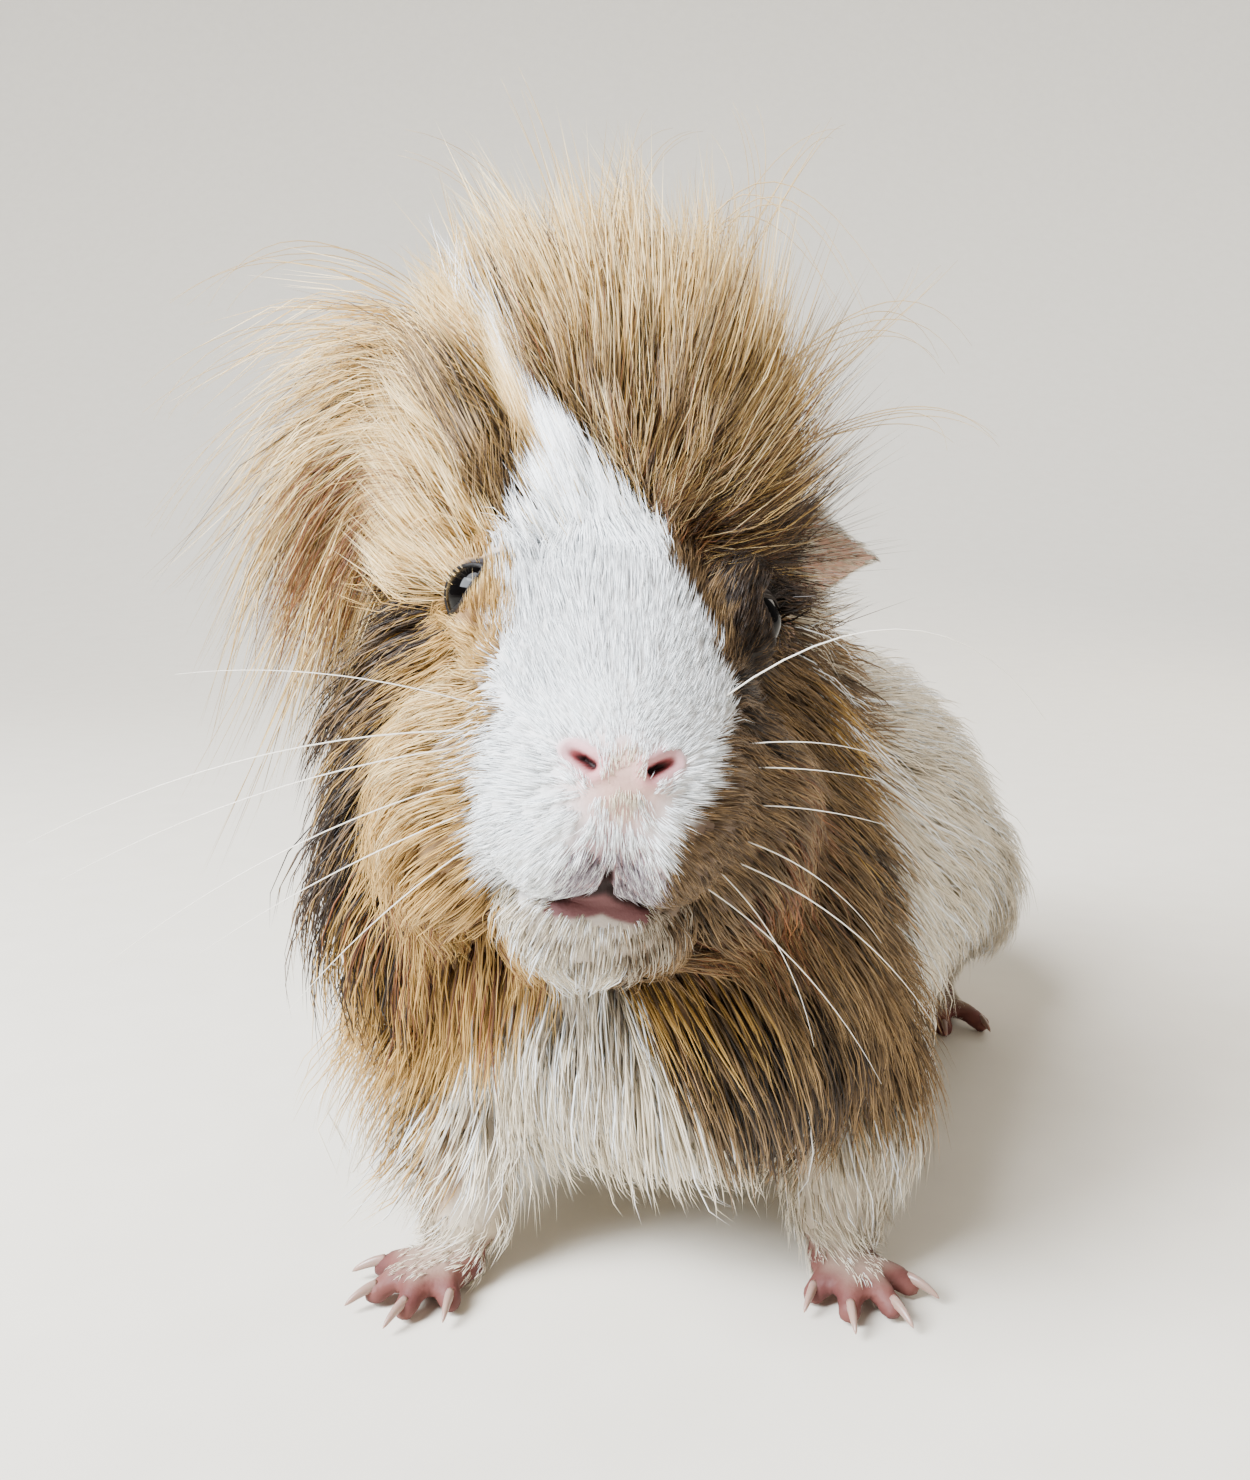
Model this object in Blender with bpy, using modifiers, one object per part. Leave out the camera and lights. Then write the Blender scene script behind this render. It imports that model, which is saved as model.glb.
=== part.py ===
"""Long-haired crested guinea pig standing on four feet, head up and turned a little to its left.

Z is up, the floor is z = 0, and the animal faces -Y. Its left side is +X. All sizes below are in
millimetres and are turned to metres where a mesh is made. Coat solids reach to the tips of the hair.
"""

import math

import bmesh
import bpy
import numpy as np
from mathutils import Matrix, Vector

MM = 0.001
GAP = 0.3  # between two pieces that meet
CENTERING = (5.3, -2.85, 0)  # brings the middle of the whole animal over the origin

NOSE = (16.3, -117.8, 93.0)
HEAD_TURN = math.radians(22.5)  # to the animal's left
HEAD_ROLL = math.radians(6.0)  # crown leaning to the animal's left

EYE_RADIUS = 6.0
EYE_SIDE = 18.0
EYE_BACK = 38.5
EYE_UP = 17.3

EAR_LENGTH = 21.5
EAR_WIDTH = 24.0
EAR_THICKNESS = 2.2
EAR_DROOP_LEFT = math.radians(-14)
EAR_DROOP_RIGHT = math.radians(26)

LEG_CUT_FORE = 12.5  # height of the cut at the wrist
LEG_CUT_HIND = 13.0  # height of the cut at the heel
TOE_RADIUS = 2.3
CLAW_LENGTH = 5.2
CLAW_RADIUS = 1.0

COAT_TRIANGLES = 2550
CREST_TRIANGLES = 720
SIDE_LOCK_TRIANGLES = 560
FOOT_TRIANGLES = 400  # with the leg above it

# Sections from front to back: place along the body, sideways shift, height of the widest line,
# half width, reach up and reach down.
TRUNK = {
    "along": (-96, -60, -20, 30, 75, 128),
    "shift": (7, 0, -1, 0, 0, 0),
    "level": (42, 43, 42, 41, 40, 42),
    "half": (38, 45, 51, 56, 58, 53),
    "up": (52, 66, 67, 65, 59, 42),
    "down": (29, 31, 31, 30, 30, 28),
}

# Sections from the nose backwards, in the head's own frame.
HEAD = {
    "along": (0, 8, 20, 38, 58, 78, 96),
    "shift": (0, 0, 0, 0, 0, 0, 0),
    "level": (-5, -5, -5, -6, -6, -4, -2),
    "half": (15, 18, 22, 27, 33, 35, 32),
    "up": (11, 16, 25, 38, 45, 44, 38),
    "down": (12, 14, 19, 30, 38, 38, 34),
}
JAW = {
    "along": (6, 16, 32, 52, 66),
    "shift": (0, 0, 0, 0, 0),
    "level": (-20, -21, -22, -24, -26),
    "half": (10, 13.5, 20, 27, 28),
    "up": (6, 10, 14, 18, 18),
    "down": (8, 9.5, 13, 16, 16),
}

# Sections of the ruff from its lower hem upwards: height above the floor, distance behind the
# nose of its middle, half width, reach to the front and reach to the back.
RUFF = {
    "along": (20, 32, 44, 60, 80, 98, 112, 132),
    "middle": (52, 54, 56, 58, 60, 66, 74, 80),
    "half": (32, 42, 48.5, 50.5, 50, 45.5, 39, 30),
    "front": (14, 21, 27, 32, 33, 28, 21, 16),
    "back": (24, 30, 36, 40, 42, 43, 38, 20),
}


def clear_scene():
    for thing in list(bpy.data.objects):
        bpy.data.objects.remove(thing, do_unlink=True)


def head_points(points):
    """Points of the head's frame (left, back from the nose, up) in the model's frame."""
    turn = Matrix.Rotation(HEAD_TURN, 3, "Z") @ Matrix.Rotation(HEAD_ROLL, 3, "Y")
    return np.asarray(points, float) @ np.array(turn).T + np.array(NOSE)


def in_head(x, y, z):
    return head_points([(x, y, z)])[0]


def smooth_run(stations, at, name):
    """A cubic through the named column of the stations, flat nowhere but at turning points."""
    xs = np.array(stations["along"], float)
    ys = np.array(stations[name], float)
    slopes = np.gradient(ys, xs)
    index = np.clip(np.searchsorted(xs, at) - 1, 0, len(xs) - 2)
    step = xs[index + 1] - xs[index]
    t = (at - xs[index]) / step
    return (
        (2 * t**3 - 3 * t**2 + 1) * ys[index]
        + (t**3 - 2 * t**2 + t) * step * slopes[index]
        + (3 * t**2 - 2 * t**3) * ys[index + 1]
        + (t**3 - t**2) * step * slopes[index + 1]
    )


def rounded(at, start, end, nose, tail):
    """1 along the middle, falling to 0 at both ends as a quarter of an ellipse does."""
    front = np.clip((at - start) / nose, 0, 1)
    back = np.clip((end - at) / tail, 0, 1)
    return np.sqrt(1 - (1 - front) ** 2) * np.sqrt(1 - (1 - back) ** 2)


def tube_mesh(rings):
    """Closed mesh data from rings of points of equal count, with a pole at either end."""
    count, sides = rings.shape[:2]
    vertices = np.vstack([rings.reshape(-1, 3), rings[0].mean(0), rings[-1].mean(0)])
    ring, side = np.meshgrid(np.arange(count - 1), np.arange(sides), indexing="ij")
    after = (side + 1) % sides
    walls = np.stack([ring * sides + side, ring * sides + after,
                      (ring + 1) * sides + after, (ring + 1) * sides + side], -1).reshape(-1, 4)
    around = np.arange(sides)
    onward = (around + 1) % sides
    first = np.stack([np.full(sides, count * sides), onward, around], -1)
    base = (count - 1) * sides
    last = np.stack([np.full(sides, count * sides + 1), base + around, base + onward], -1)
    return vertices, [tuple(f) for f in walls] + [tuple(f) for f in first] + [tuple(f) for f in last]


def length_steps(start, end, count):
    """Places from start to end, closer together towards both ends."""
    turn = np.linspace(0, math.pi, count)
    inset = 0.002 * (end - start)
    return start + inset + (end - start - 2 * inset) * (1 - np.cos(turn)) / 2


def body_loft(stations, nose, tail, count=40, sides=40):
    """Egg-shaped sections along Y: half wide, up above the widest line and down below it."""
    start, end = stations["along"][0], stations["along"][-1]
    at = length_steps(start, end, count)
    size = rounded(at, start, end, nose, tail)[:, None]
    angle = np.linspace(0, 2 * math.pi, sides, endpoint=False)[None, :]
    half = smooth_run(stations, at, "half")[:, None] * size
    up = smooth_run(stations, at, "up")[:, None] * size
    down = smooth_run(stations, at, "down")[:, None] * size
    x = smooth_run(stations, at, "shift")[:, None] + half * np.cos(angle)
    z = smooth_run(stations, at, "level")[:, None] + np.where(np.sin(angle) > 0, up, down) * np.sin(angle)
    y = np.broadcast_to(at[:, None], x.shape)
    return tube_mesh(np.stack([x, y, z], -1)[:, ::-1])


def ruff_loft(count=30, sides=40):
    """Egg-shaped level sections, each as far behind the nose as its station says."""
    start, end = RUFF["along"][0], RUFF["along"][-1]
    at = length_steps(start, end, count)
    size = rounded(at, start, end, 12, 22)[:, None]
    angle = np.linspace(0, 2 * math.pi, sides, endpoint=False)[None, :]
    half = smooth_run(RUFF, at, "half")[:, None] * size
    front = smooth_run(RUFF, at, "front")[:, None] * size
    back = smooth_run(RUFF, at, "back")[:, None] * size
    x = half * np.cos(angle)
    y = smooth_run(RUFF, at, "middle")[:, None] + np.where(np.sin(angle) > 0, back, front) * np.sin(angle)
    turn = np.array(Matrix.Rotation(HEAD_TURN, 3, "Z"))
    flat = np.stack([x, y, np.zeros_like(x)], -1) @ turn.T + np.array(NOSE)
    flat[..., 2] = at[:, None]
    return tube_mesh(flat)


def ball(center, radii, count=12, sides=18):
    """An ellipsoid on a grid of latitude and longitude."""
    latitude = np.linspace(-math.pi / 2, math.pi / 2, count + 2)[1:-1, None]
    longitude = np.linspace(0, 2 * math.pi, sides, endpoint=False)[None, :]
    x = np.cos(latitude) * np.cos(longitude) * radii[0]
    y = np.cos(latitude) * np.sin(longitude) * radii[1]
    z = np.sin(latitude) * radii[2] * np.ones_like(longitude)
    return tube_mesh(np.stack([x, y, z], -1) + np.array(center, float))


def lock(root, bend, tip, width, thickness, count=9, sides=10, blunt=0.12):
    """A tapering lock of hair: an elliptical section carried along a bent path to a thin tip."""
    t = np.linspace(0.0, 1.0, count)[:, None]
    root, bend, tip = (np.array(p, float) for p in (root, bend, tip))
    path = (1 - t) ** 2 * root + 2 * t * (1 - t) * bend + t**2 * tip
    along = 2 * (1 - t) * (bend - root) + 2 * t * (tip - bend)
    along /= np.linalg.norm(along, axis=1)[:, None]
    flat = np.cross(bend - root, tip - bend)
    if np.linalg.norm(flat) < 1e-6:
        flat = np.cross(tip - root, (0.3, 1, 0.2))
    flat /= np.linalg.norm(flat)
    across = np.cross(flat, along)
    size = (1 - t) ** 0.75 * (1 - blunt) + blunt
    angle = np.linspace(0, 2 * math.pi, sides, endpoint=False)
    rings = (
        path[:, None, :]
        + (size * width)[:, None, :] * np.cos(angle)[None, :, None] * across[:, None, :]
        + (size * thickness)[:, None, :] * np.sin(angle)[None, :, None] * flat[None, None, :]
    )
    return tube_mesh(rings[:, ::-1])


def joined(forms):
    vertices, faces, start = [], [], 0
    for points, polygons in forms:
        vertices.append(points)
        faces += [tuple(int(i) + start for i in f) for f in polygons]
        start += len(points)
    return np.vstack(vertices), faces


def new_object(name, form, collection):
    vertices, faces = form
    mesh = bpy.data.meshes.new(name)
    mesh.from_pydata((vertices * MM).tolist(), [], faces)
    made = bpy.data.objects.new(name, mesh)
    collection.objects.link(made)
    outward(made)
    return made


def outward(thing):
    """Turns the faces of a closed mesh outwards."""
    bm = bmesh.new()
    bm.from_mesh(thing.data)
    bmesh.ops.recalc_face_normals(bm, faces=bm.faces)
    if bm.calc_volume(signed=True) < 0:
        bmesh.ops.reverse_faces(bm, faces=bm.faces)
    bm.to_mesh(thing.data)
    bm.free()


def apply_modifiers(thing):
    graph = bpy.context.evaluated_depsgraph_get()
    graph.update()
    mesh = bpy.data.meshes.new_from_object(thing.evaluated_get(graph))
    thing.modifiers.clear()
    thing.data = mesh


def merged(name, forms, voxel, triangles, collection, smoothing=2):
    """One closed skin round overlapping forms, thinned to about the stated number of triangles."""
    made = new_object(name, joined(forms), collection)
    remesh = made.modifiers.new("One skin", "REMESH")
    remesh.mode = "VOXEL"
    remesh.voxel_size = voxel * MM
    if smoothing:
        soften = made.modifiers.new("Soften", "SMOOTH")
        soften.factor = 0.5
        soften.iterations = smoothing
    apply_modifiers(made)
    made.data.calc_loop_triangles()
    thin = made.modifiers.new("Thin out", "DECIMATE")
    thin.ratio = min(1.0, triangles / len(made.data.loop_triangles))
    apply_modifiers(made)
    return made


def cut_off(name, thing, point, normal, collection, gap=GAP):
    """Splits a closed mesh at a plane, half the gap away on either side. What lies on the side
    that the normal points to becomes a new object."""
    far = bpy.data.objects.new(name, thing.data.copy())
    collection.objects.link(far)
    point = Vector(point) * MM
    normal = Vector(normal).normalized()
    for piece, way in ((thing, 1), (far, -1)):
        bm = bmesh.new()
        bm.from_mesh(piece.data)
        cut = bmesh.ops.bisect_plane(
            bm, geom=bm.verts[:] + bm.edges[:] + bm.faces[:], dist=1e-7,
            plane_co=point - normal * way * gap * MM / 2, plane_no=normal * way, clear_outer=True)
        rim = [e for e in cut["geom_cut"] if isinstance(e, bmesh.types.BMEdge)]
        bmesh.ops.edgeloop_fill(bm, edges=rim)
        bmesh.ops.triangulate(bm, faces=[f for f in bm.faces if len(f.verts) > 4])
        bm.to_mesh(piece.data)
        bm.free()
    return far


def flat_sole(thing):
    """Cuts the mesh level at the floor."""
    bm = bmesh.new()
    bm.from_mesh(thing.data)
    cut = bmesh.ops.bisect_plane(
        bm, geom=bm.verts[:] + bm.edges[:] + bm.faces[:], dist=1e-7,
        plane_co=(0, 0, 0), plane_no=(0, 0, -1), clear_outer=True)
    rim = [e for e in cut["geom_cut"] if isinstance(e, bmesh.types.BMEdge)]
    bmesh.ops.edgeloop_fill(bm, edges=rim)
    bm.to_mesh(thing.data)
    bm.free()


def without(thing, neighbour, collection):
    """Takes the neighbour, grown by the gap, out of a piece."""
    cutter = bpy.data.objects.new("cutter_" + neighbour.name + "_" + thing.name, neighbour.data.copy())
    collection.objects.link(cutter)
    cutter.hide_render = True
    cutter.display_type = "WIRE"
    grow = cutter.modifiers.new("Gap", "DISPLACE")
    grow.mid_level = 0
    grow.strength = GAP * MM
    cut = thing.modifiers.new("Clear of " + neighbour.name, "BOOLEAN")
    cut.operation = "DIFFERENCE"
    cut.object = cutter
    cut.use_hole_tolerant = True
    return cutter


def keep_largest(thing):
    """Applies a piece's cuts and drops the crumbs they leave, keeping its one large body."""
    apply_modifiers(thing)
    bm = bmesh.new()
    bm.from_mesh(thing.data)
    unseen = set(bm.verts)
    bodies = []
    while unseen:
        body, edge_of_body = set(), [unseen.pop()]
        while edge_of_body:
            vertex = edge_of_body.pop()
            body.add(vertex)
            near = {e.other_vert(vertex) for e in vertex.link_edges} & unseen
            unseen -= near
            edge_of_body += near
        bodies.append(body)
    bodies.sort(key=len)
    for body in bodies[:-1]:
        bmesh.ops.delete(bm, geom=list(body), context="VERTS")
    bm.to_mesh(thing.data)
    bm.free()


def material(name, color, roughness):
    made = bpy.data.materials.new(name)
    made.use_nodes = True
    shader = made.node_tree.nodes["Principled BSDF"]
    shader.inputs["Base Color"].default_value = (*color, 1)
    shader.inputs["Roughness"].default_value = roughness
    shader.inputs["Metallic"].default_value = 0
    return made


def coat_forms():
    """Trunk, nape, ruff, head, jaw and lips, and the pointed locks along the hem of the bib."""
    trunk = body_loft(TRUNK, 34, 52)
    head_vertices, head_faces = body_loft(HEAD, 9, 34, 30, 36)
    jaw_vertices, jaw_faces = body_loft(JAW, 8, 24, 20, 24)
    nape = ball((-1, -24, 99), (36, 50, 27))
    forms = [trunk, nape, ruff_loft(), (head_points(head_vertices), head_faces),
             (head_points(jaw_vertices), jaw_faces)]
    for side in (-1, 1):
        forms.append(ball(in_head(6.5 * side, 7.5, -9), (8.5, 8.5, 8.5)))
    hem = np.linspace(-34, 34, 9)
    for i, x in enumerate(hem):
        drop = 30 - 0.010 * x * x - 4 * (i % 2)
        root = np.array(in_head(x * 0.95, 38 + 0.010 * x * x, 0))
        root[2] = drop + 26
        tip = root + np.array((0, 3, 0))
        tip[2] = drop
        forms.append(lock(root, (root + tip) / 2 + (0, -2.5, 0), tip, 7.5, 6.5))
    return forms


def crest_forms():
    """The fan of hair on the crown: a rounded heart with broad locks that spread up and out."""
    forms = [ball(in_head(2, 65, 50), (25, 18, 20)), ball(in_head(22, 65, 46), (19, 17, 19))]
    rows = ((50, 22, 10), (59, 32, 13), (69, 31, 11), (80, 24, 8))  # behind the nose, reach, count
    for row, (behind, reach, count) in enumerate(rows):
        for i in range(count):
            lean = math.radians(-42 + (118 * (i + 0.5 * (row % 2)) / (count - 1 + 0.5)))
            root = np.array((6 + 24 * math.sin(lean), behind, 42 + 12 * math.cos(lean)))
            long = reach * (1 - 0.22 * abs(math.sin(lean - 0.15))) * (0.86 + 0.14 * (i % 2))
            tip = root + long * np.array((math.sin(lean), 0.3 * (row - 1), math.cos(lean)))
            bend = (root + tip) / 2 + (0, 1.5, 1.5)
            forms.append(lock(*(in_head(*p) for p in (root, bend, tip)), 6.5, 5.0))
    return forms


def side_lock_forms():
    """Long locks that rise from the parting, arch outwards and hang past the right ear."""
    forms = []
    for layer, (rise, spread, fall) in enumerate(((78, 1.0, 0), (60, 0.78, 6))):
        for i in range(8 - layer):
            t = i / (7 - layer)
            root = np.array((-10 - 12 * t, 67 + 3 * (i % 2) + 2 * layer, 44 - 8 * t))
            bend = np.array((-40 - 10 * t, 71 + 4 * (i % 2), rise - 24 * t))
            bend[0] *= spread
            tip = np.array((-66 + 8 * t, 77 - 3 * t, 46 - 60 * t + 6 * (i % 2) - fall))
            tip[0] *= spread
            forms.append(lock(*(in_head(*p) for p in (root, bend, tip)), 8.0, 5.5))
    return forms


def ear_form(side, droop):
    """A drooping petal: a cupped sheet, widest past its middle, with the given thickness."""
    count, across = 8, 7
    u, v = np.meshgrid(np.linspace(0, 1, count), np.linspace(-1, 1, across), indexing="ij")
    width = EAR_WIDTH / 2 * (0.60 + 0.44 * np.sin(math.pi * (0.08 + 0.84 * u)))
    width = width * np.sqrt(1 - 0.85 * u**4)
    out = u * EAR_LENGTH * (1 - 0.10 * v**2)
    x = 24 + out * math.cos(droop) - v * width * math.sin(droop) * 0.6
    z = 27 - out * math.sin(droop) - v * width * 0.9
    y = 60 + 5 * v**2 - 5 * u
    half = EAR_THICKNESS / 2
    sheet = np.stack([x * side, y, z], -1).reshape(-1, 3)
    points = np.vstack([head_points(sheet - (0, half, 0)), head_points(sheet + (0, half, 0))])
    total = count * across
    faces = []
    for i in range(count - 1):
        for j in range(across - 1):
            corner = i * across + j
            square = (corner, corner + 1, corner + across + 1, corner + across)
            faces.append(square)
            faces.append(tuple(total + k for k in reversed(square)))
    rim = list(range(across))
    rim += [i * across + across - 1 for i in range(1, count)]
    rim += [(count - 1) * across + j for j in range(across - 2, -1, -1)]
    rim += [i * across for i in range(count - 2, 0, -1)]
    faces += [(a, total + a, total + b, b) for a, b in zip(rim, rim[1:] + rim[:1])]
    return points, faces


def leg_form(top, knee, ankle, wide, thin):
    return lock(top, knee, ankle, wide, thin, count=9, sides=16, blunt=0.55)


def toe_tips(heel, ahead, spreads, reaches):
    """Toe tips on the floor: each turned from straight ahead by its spread, at its reach."""
    for spread, reach in zip(spreads, reaches):
        way = ahead + math.radians(spread)
        yield np.array((heel[0] + reach * math.sin(way), heel[1] - reach * math.cos(way), TOE_RADIUS))


def foot_forms(heel, ahead, sole, spreads, reaches):
    """A flat palm or sole with its toes, reaching under the floor line before it is cut level."""
    length, width = sole
    forward = np.array((math.sin(ahead), -math.cos(ahead), 0))
    middle = np.array((*heel, 3.6)) + forward * length * 0.42
    forms = [lock(middle - forward * length * 0.5, middle, middle + forward * length * 0.5,
                  width, 4.6, count=9, sides=14, blunt=0.7)]
    for tip in toe_tips(heel, ahead, spreads, reaches):
        root = middle + (tip - middle) * 0.15
        root[2] = 4.6
        knuckle = (root + tip) / 2
        knuckle[2] = 5.4
        forms.append(lock(root, knuckle, tip, 3.0, 3.0, count=8, sides=10, blunt=0.72))
        forms.append(ball(tip, (TOE_RADIUS, TOE_RADIUS, TOE_RADIUS * 1.15), 6, 10))
    return forms


def claw_form(tip, root):
    """A curved horn spike from the toe's end, forward and down, clear of the floor."""
    way = np.array((tip[0] - root[0], tip[1] - root[1], 0))
    way /= np.linalg.norm(way)
    start = tip + way * (TOE_RADIUS * 0.35) + (0, 0, 0.9)
    bend = start + way * CLAW_LENGTH * 0.55 + (0, 0, 0.5)
    end = start + way * CLAW_LENGTH * 0.95 - (0, 0, 1.5)
    return lock(start, bend, end, CLAW_RADIUS, CLAW_RADIUS * 1.1, count=4, sides=6, blunt=0.22)


FEET = {
    "forefoot_right": {"heel": (-24.5, -76.5), "ahead": -24, "sole": (11, 6.2),
                       "spreads": (-38, -12, 12, 38), "reaches": (12.5, 15.5, 15.0, 11.0)},
    "forefoot_left": {"heel": (33.5, -56.5), "ahead": 30, "sole": (11, 6.2),
                      "spreads": (-38, -12, 12, 38), "reaches": (11.0, 15.0, 15.5, 12.5)},
    "hindfoot_right": {"heel": (-36, 92), "ahead": -12, "sole": (28, 6.4),
                       "spreads": (-17, 0, 17), "reaches": (32, 35, 31)},
    "hindfoot_left": {"heel": (36, 92), "ahead": 12, "sole": (28, 6.4),
                      "spreads": (-17, 0, 17), "reaches": (31, 35, 32)},
}

LEGS = {
    "foreleg_right": {"top": (-24, -62, 46), "knee": (-30, -64, 26), "ankle": (-24.0, -77, 6.0),
                      "size": (14, 13)},
    "foreleg_left": {"top": (27, -50, 46), "knee": (34, -47, 26), "ankle": (33.5, -57.0, 6.0),
                     "size": (14, 13)},
    "hindleg_right": {"top": (-34, 66, 50), "knee": (-44, 76, 30), "ankle": (-36, 88, 6.0),
                      "size": (17, 19)},
    "hindleg_left": {"top": (34, 66, 50), "knee": (44, 76, 30), "ankle": (36, 88, 6.0),
                     "size": (17, 19)},
}


def make_feet(collection, cutters, coat):
    """Each foot with its claws, and the leg above it, cut apart at the wrist or heel."""
    made = {}
    for name, foot in FEET.items():
        hind = name.startswith("hind")
        ahead = math.radians(foot["ahead"])
        leg_name = name.replace("foot", "leg")
        leg = LEGS[leg_name]
        forms = foot_forms(foot["heel"], ahead, foot["sole"], foot["spreads"], foot["reaches"])
        ankle = leg_form(leg["top"], leg["knee"], leg["ankle"], *leg["size"])
        whole = merged(name, forms + [ankle], 0.9, FOOT_TRIANGLES, collection, 1)
        flat_sole(whole)
        height = LEG_CUT_HIND if hind else LEG_CUT_FORE
        made[leg_name] = cut_off(leg_name, whole, (0, 0, height), (0, 0, 1), collection)
        made[name] = whole
        without(made[leg_name], coat, cutters)
        keep_largest(made[leg_name])
        palm = (*foot["heel"], 0)
        for i, tip in enumerate(toe_tips(foot["heel"], ahead, foot["spreads"], foot["reaches"])):
            claw = new_object(f"claw_{name}_{i + 1}", claw_form(tip, palm), collection)
            without(claw, whole, cutters)
            made[claw.name] = claw
    return made


def build():
    clear_scene()
    animal = bpy.data.collections.new("Guinea pig")
    cutters = bpy.data.collections.new("Cutters")
    bpy.context.scene.collection.children.link(animal)
    bpy.context.scene.collection.children.link(cutters)

    coat = merged("trunk", coat_forms(), 2.2, COAT_TRIANGLES, animal, 3)
    whole = bpy.data.objects.new("cutter_coat", coat.data.copy())
    cutters.objects.link(whole)
    whole.hide_render = True
    whole.display_type = "WIRE"

    crest = merged("crest", crest_forms(), 1.6, CREST_TRIANGLES, animal)
    without(crest, whole, cutters)
    keep_largest(crest)
    side_lock = merged("side_lock", side_lock_forms(), 1.6, SIDE_LOCK_TRIANGLES, animal)
    without(side_lock, whole, cutters)
    without(side_lock, crest, cutters)
    keep_largest(side_lock)

    rump = cut_off("rump", coat, (0, 52, 0), (0, 1, 0), animal)
    turn = np.array(Matrix.Rotation(HEAD_TURN, 3, "Z"))
    throat = in_head(0, 13, -33)
    head = cut_off("head", coat, throat, turn @ np.array((0, -0.80, 0.60)), animal)
    neck = cut_off("neck", coat, (0, -62, 60), (0.10, -0.95, 0.28), animal)
    shoulders = cut_off("shoulders", coat, (0, -24, 0), (0, -1, 0), animal)
    mouth = in_head(0, 3, -17.6)
    jaw = cut_off("lower_jaw", head, mouth, turn @ np.array((0, -0.16, -0.98)), animal)

    pieces = {"rump": rump, "head": head, "neck": neck, "shoulders": shoulders,
              "lower_jaw": jaw, "trunk": coat, "crest": crest, "side_lock": side_lock}
    for side, word, droop in ((1, "left", EAR_DROOP_LEFT), (-1, "right", EAR_DROOP_RIGHT)):
        center = in_head(EYE_SIDE * side, EYE_BACK, EYE_UP)
        eye = new_object("eye_" + word, ball(center, (EYE_RADIUS,) * 3, 7, 12), animal)
        without(head, eye, cutters)
        ear = new_object("ear_" + word, ear_form(side, droop), animal)
        without(ear, whole, cutters)
        without(ear, crest, cutters)
        without(ear, side_lock, cutters)
        keep_largest(ear)
        pieces[eye.name] = eye
        pieces[ear.name] = ear
    pieces.update(make_feet(animal, cutters, whole))

    finishes = {
        "gold hair": ((0.55, 0.36, 0.17), 0.62), "agouti hair": ((0.18, 0.12, 0.07), 0.62),
        "white hair": ((0.80, 0.78, 0.72), 0.6), "ear skin": ((0.50, 0.27, 0.20), 0.5),
        "eye": ((0.01, 0.008, 0.007), 0.05), "foot skin": ((0.48, 0.27, 0.25), 0.5),
        "claw": ((0.60, 0.48, 0.36), 0.3),
    }
    made = {name: material(name, *finish) for name, finish in finishes.items()}
    slots = {"head": "white hair", "lower_jaw": "white hair", "neck": "gold hair",
             "crest": "agouti hair", "side_lock": "gold hair"}
    starts = {"ear": "ear skin", "eye": "eye", "claw": "claw", "forefoot": "foot skin",
              "hindfoot": "foot skin"}
    for name, piece in pieces.items():
        finish = slots.get(name, starts.get(name.split("_")[0], "white hair"))
        piece.data.materials.clear()
        piece.data.materials.append(made[finish])
        piece.data.shade_smooth()
    for thing in list(animal.objects) + list(cutters.objects):
        thing.data.transform(Matrix.Translation(Vector(CENTERING) * MM))


build()
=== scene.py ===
import math

import bmesh
import bpy
import numpy as np
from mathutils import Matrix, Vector
from mathutils.bvhtree import BVHTree


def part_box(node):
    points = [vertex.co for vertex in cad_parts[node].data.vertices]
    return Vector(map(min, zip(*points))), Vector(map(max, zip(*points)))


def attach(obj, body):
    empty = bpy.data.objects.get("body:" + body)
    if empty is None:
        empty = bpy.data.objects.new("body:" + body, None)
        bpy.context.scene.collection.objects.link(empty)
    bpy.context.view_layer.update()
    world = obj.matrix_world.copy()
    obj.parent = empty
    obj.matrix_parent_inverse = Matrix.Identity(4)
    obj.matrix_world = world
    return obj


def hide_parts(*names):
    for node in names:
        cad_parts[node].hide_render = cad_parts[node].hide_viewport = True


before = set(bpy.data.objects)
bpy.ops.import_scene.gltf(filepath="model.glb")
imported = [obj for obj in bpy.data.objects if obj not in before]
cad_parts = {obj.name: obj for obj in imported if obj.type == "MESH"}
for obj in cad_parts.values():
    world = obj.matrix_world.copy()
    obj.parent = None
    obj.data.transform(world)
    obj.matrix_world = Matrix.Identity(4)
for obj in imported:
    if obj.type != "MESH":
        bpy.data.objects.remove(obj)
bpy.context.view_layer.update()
mm = 0.001


def linearColor(hexText):
    # sRGB hex to linear: c / 12.92 below 0.04045, else ((c + 0.055) / 1.055) ^ 2.4
    c = np.array([int(hexText[i:i + 2], 16) / 255 for i in (1, 3, 5)])
    return np.where(c <= 0.04045, c / 12.92, ((c + 0.055) / 1.055) ** 2.4)


def addNode(tree, kind, inputs=None, **settings):
    # one node with its settings; an input is a value or another node's output socket
    node = tree.nodes.new("ShaderNode" + kind)
    for name, value in settings.items():
        setattr(node, name, value)
    for name, value in (inputs or {}).items():
        if isinstance(value, bpy.types.NodeSocket):
            tree.links.new(value, node.inputs[name])
        else:
            node.inputs[name].default_value = value
    return node


def newMaterial(name):
    # an empty material and its node tree
    made = bpy.data.materials.new(name)
    made.use_nodes = True
    made.node_tree.nodes.clear()
    return made, made.node_tree


def unit(v):
    # each vector divided by its own length
    return v / np.maximum(np.linalg.norm(v, axis=-1, keepdims=True), 1e-12)


def smoothStep(a, b, x):
    # 0 at a, 1 at b, and 3 t^2 - 2 t^3 between them
    t = np.clip((x - a) / (b - a), 0, 1)
    return t * t * (3 - 2 * t)


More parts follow.
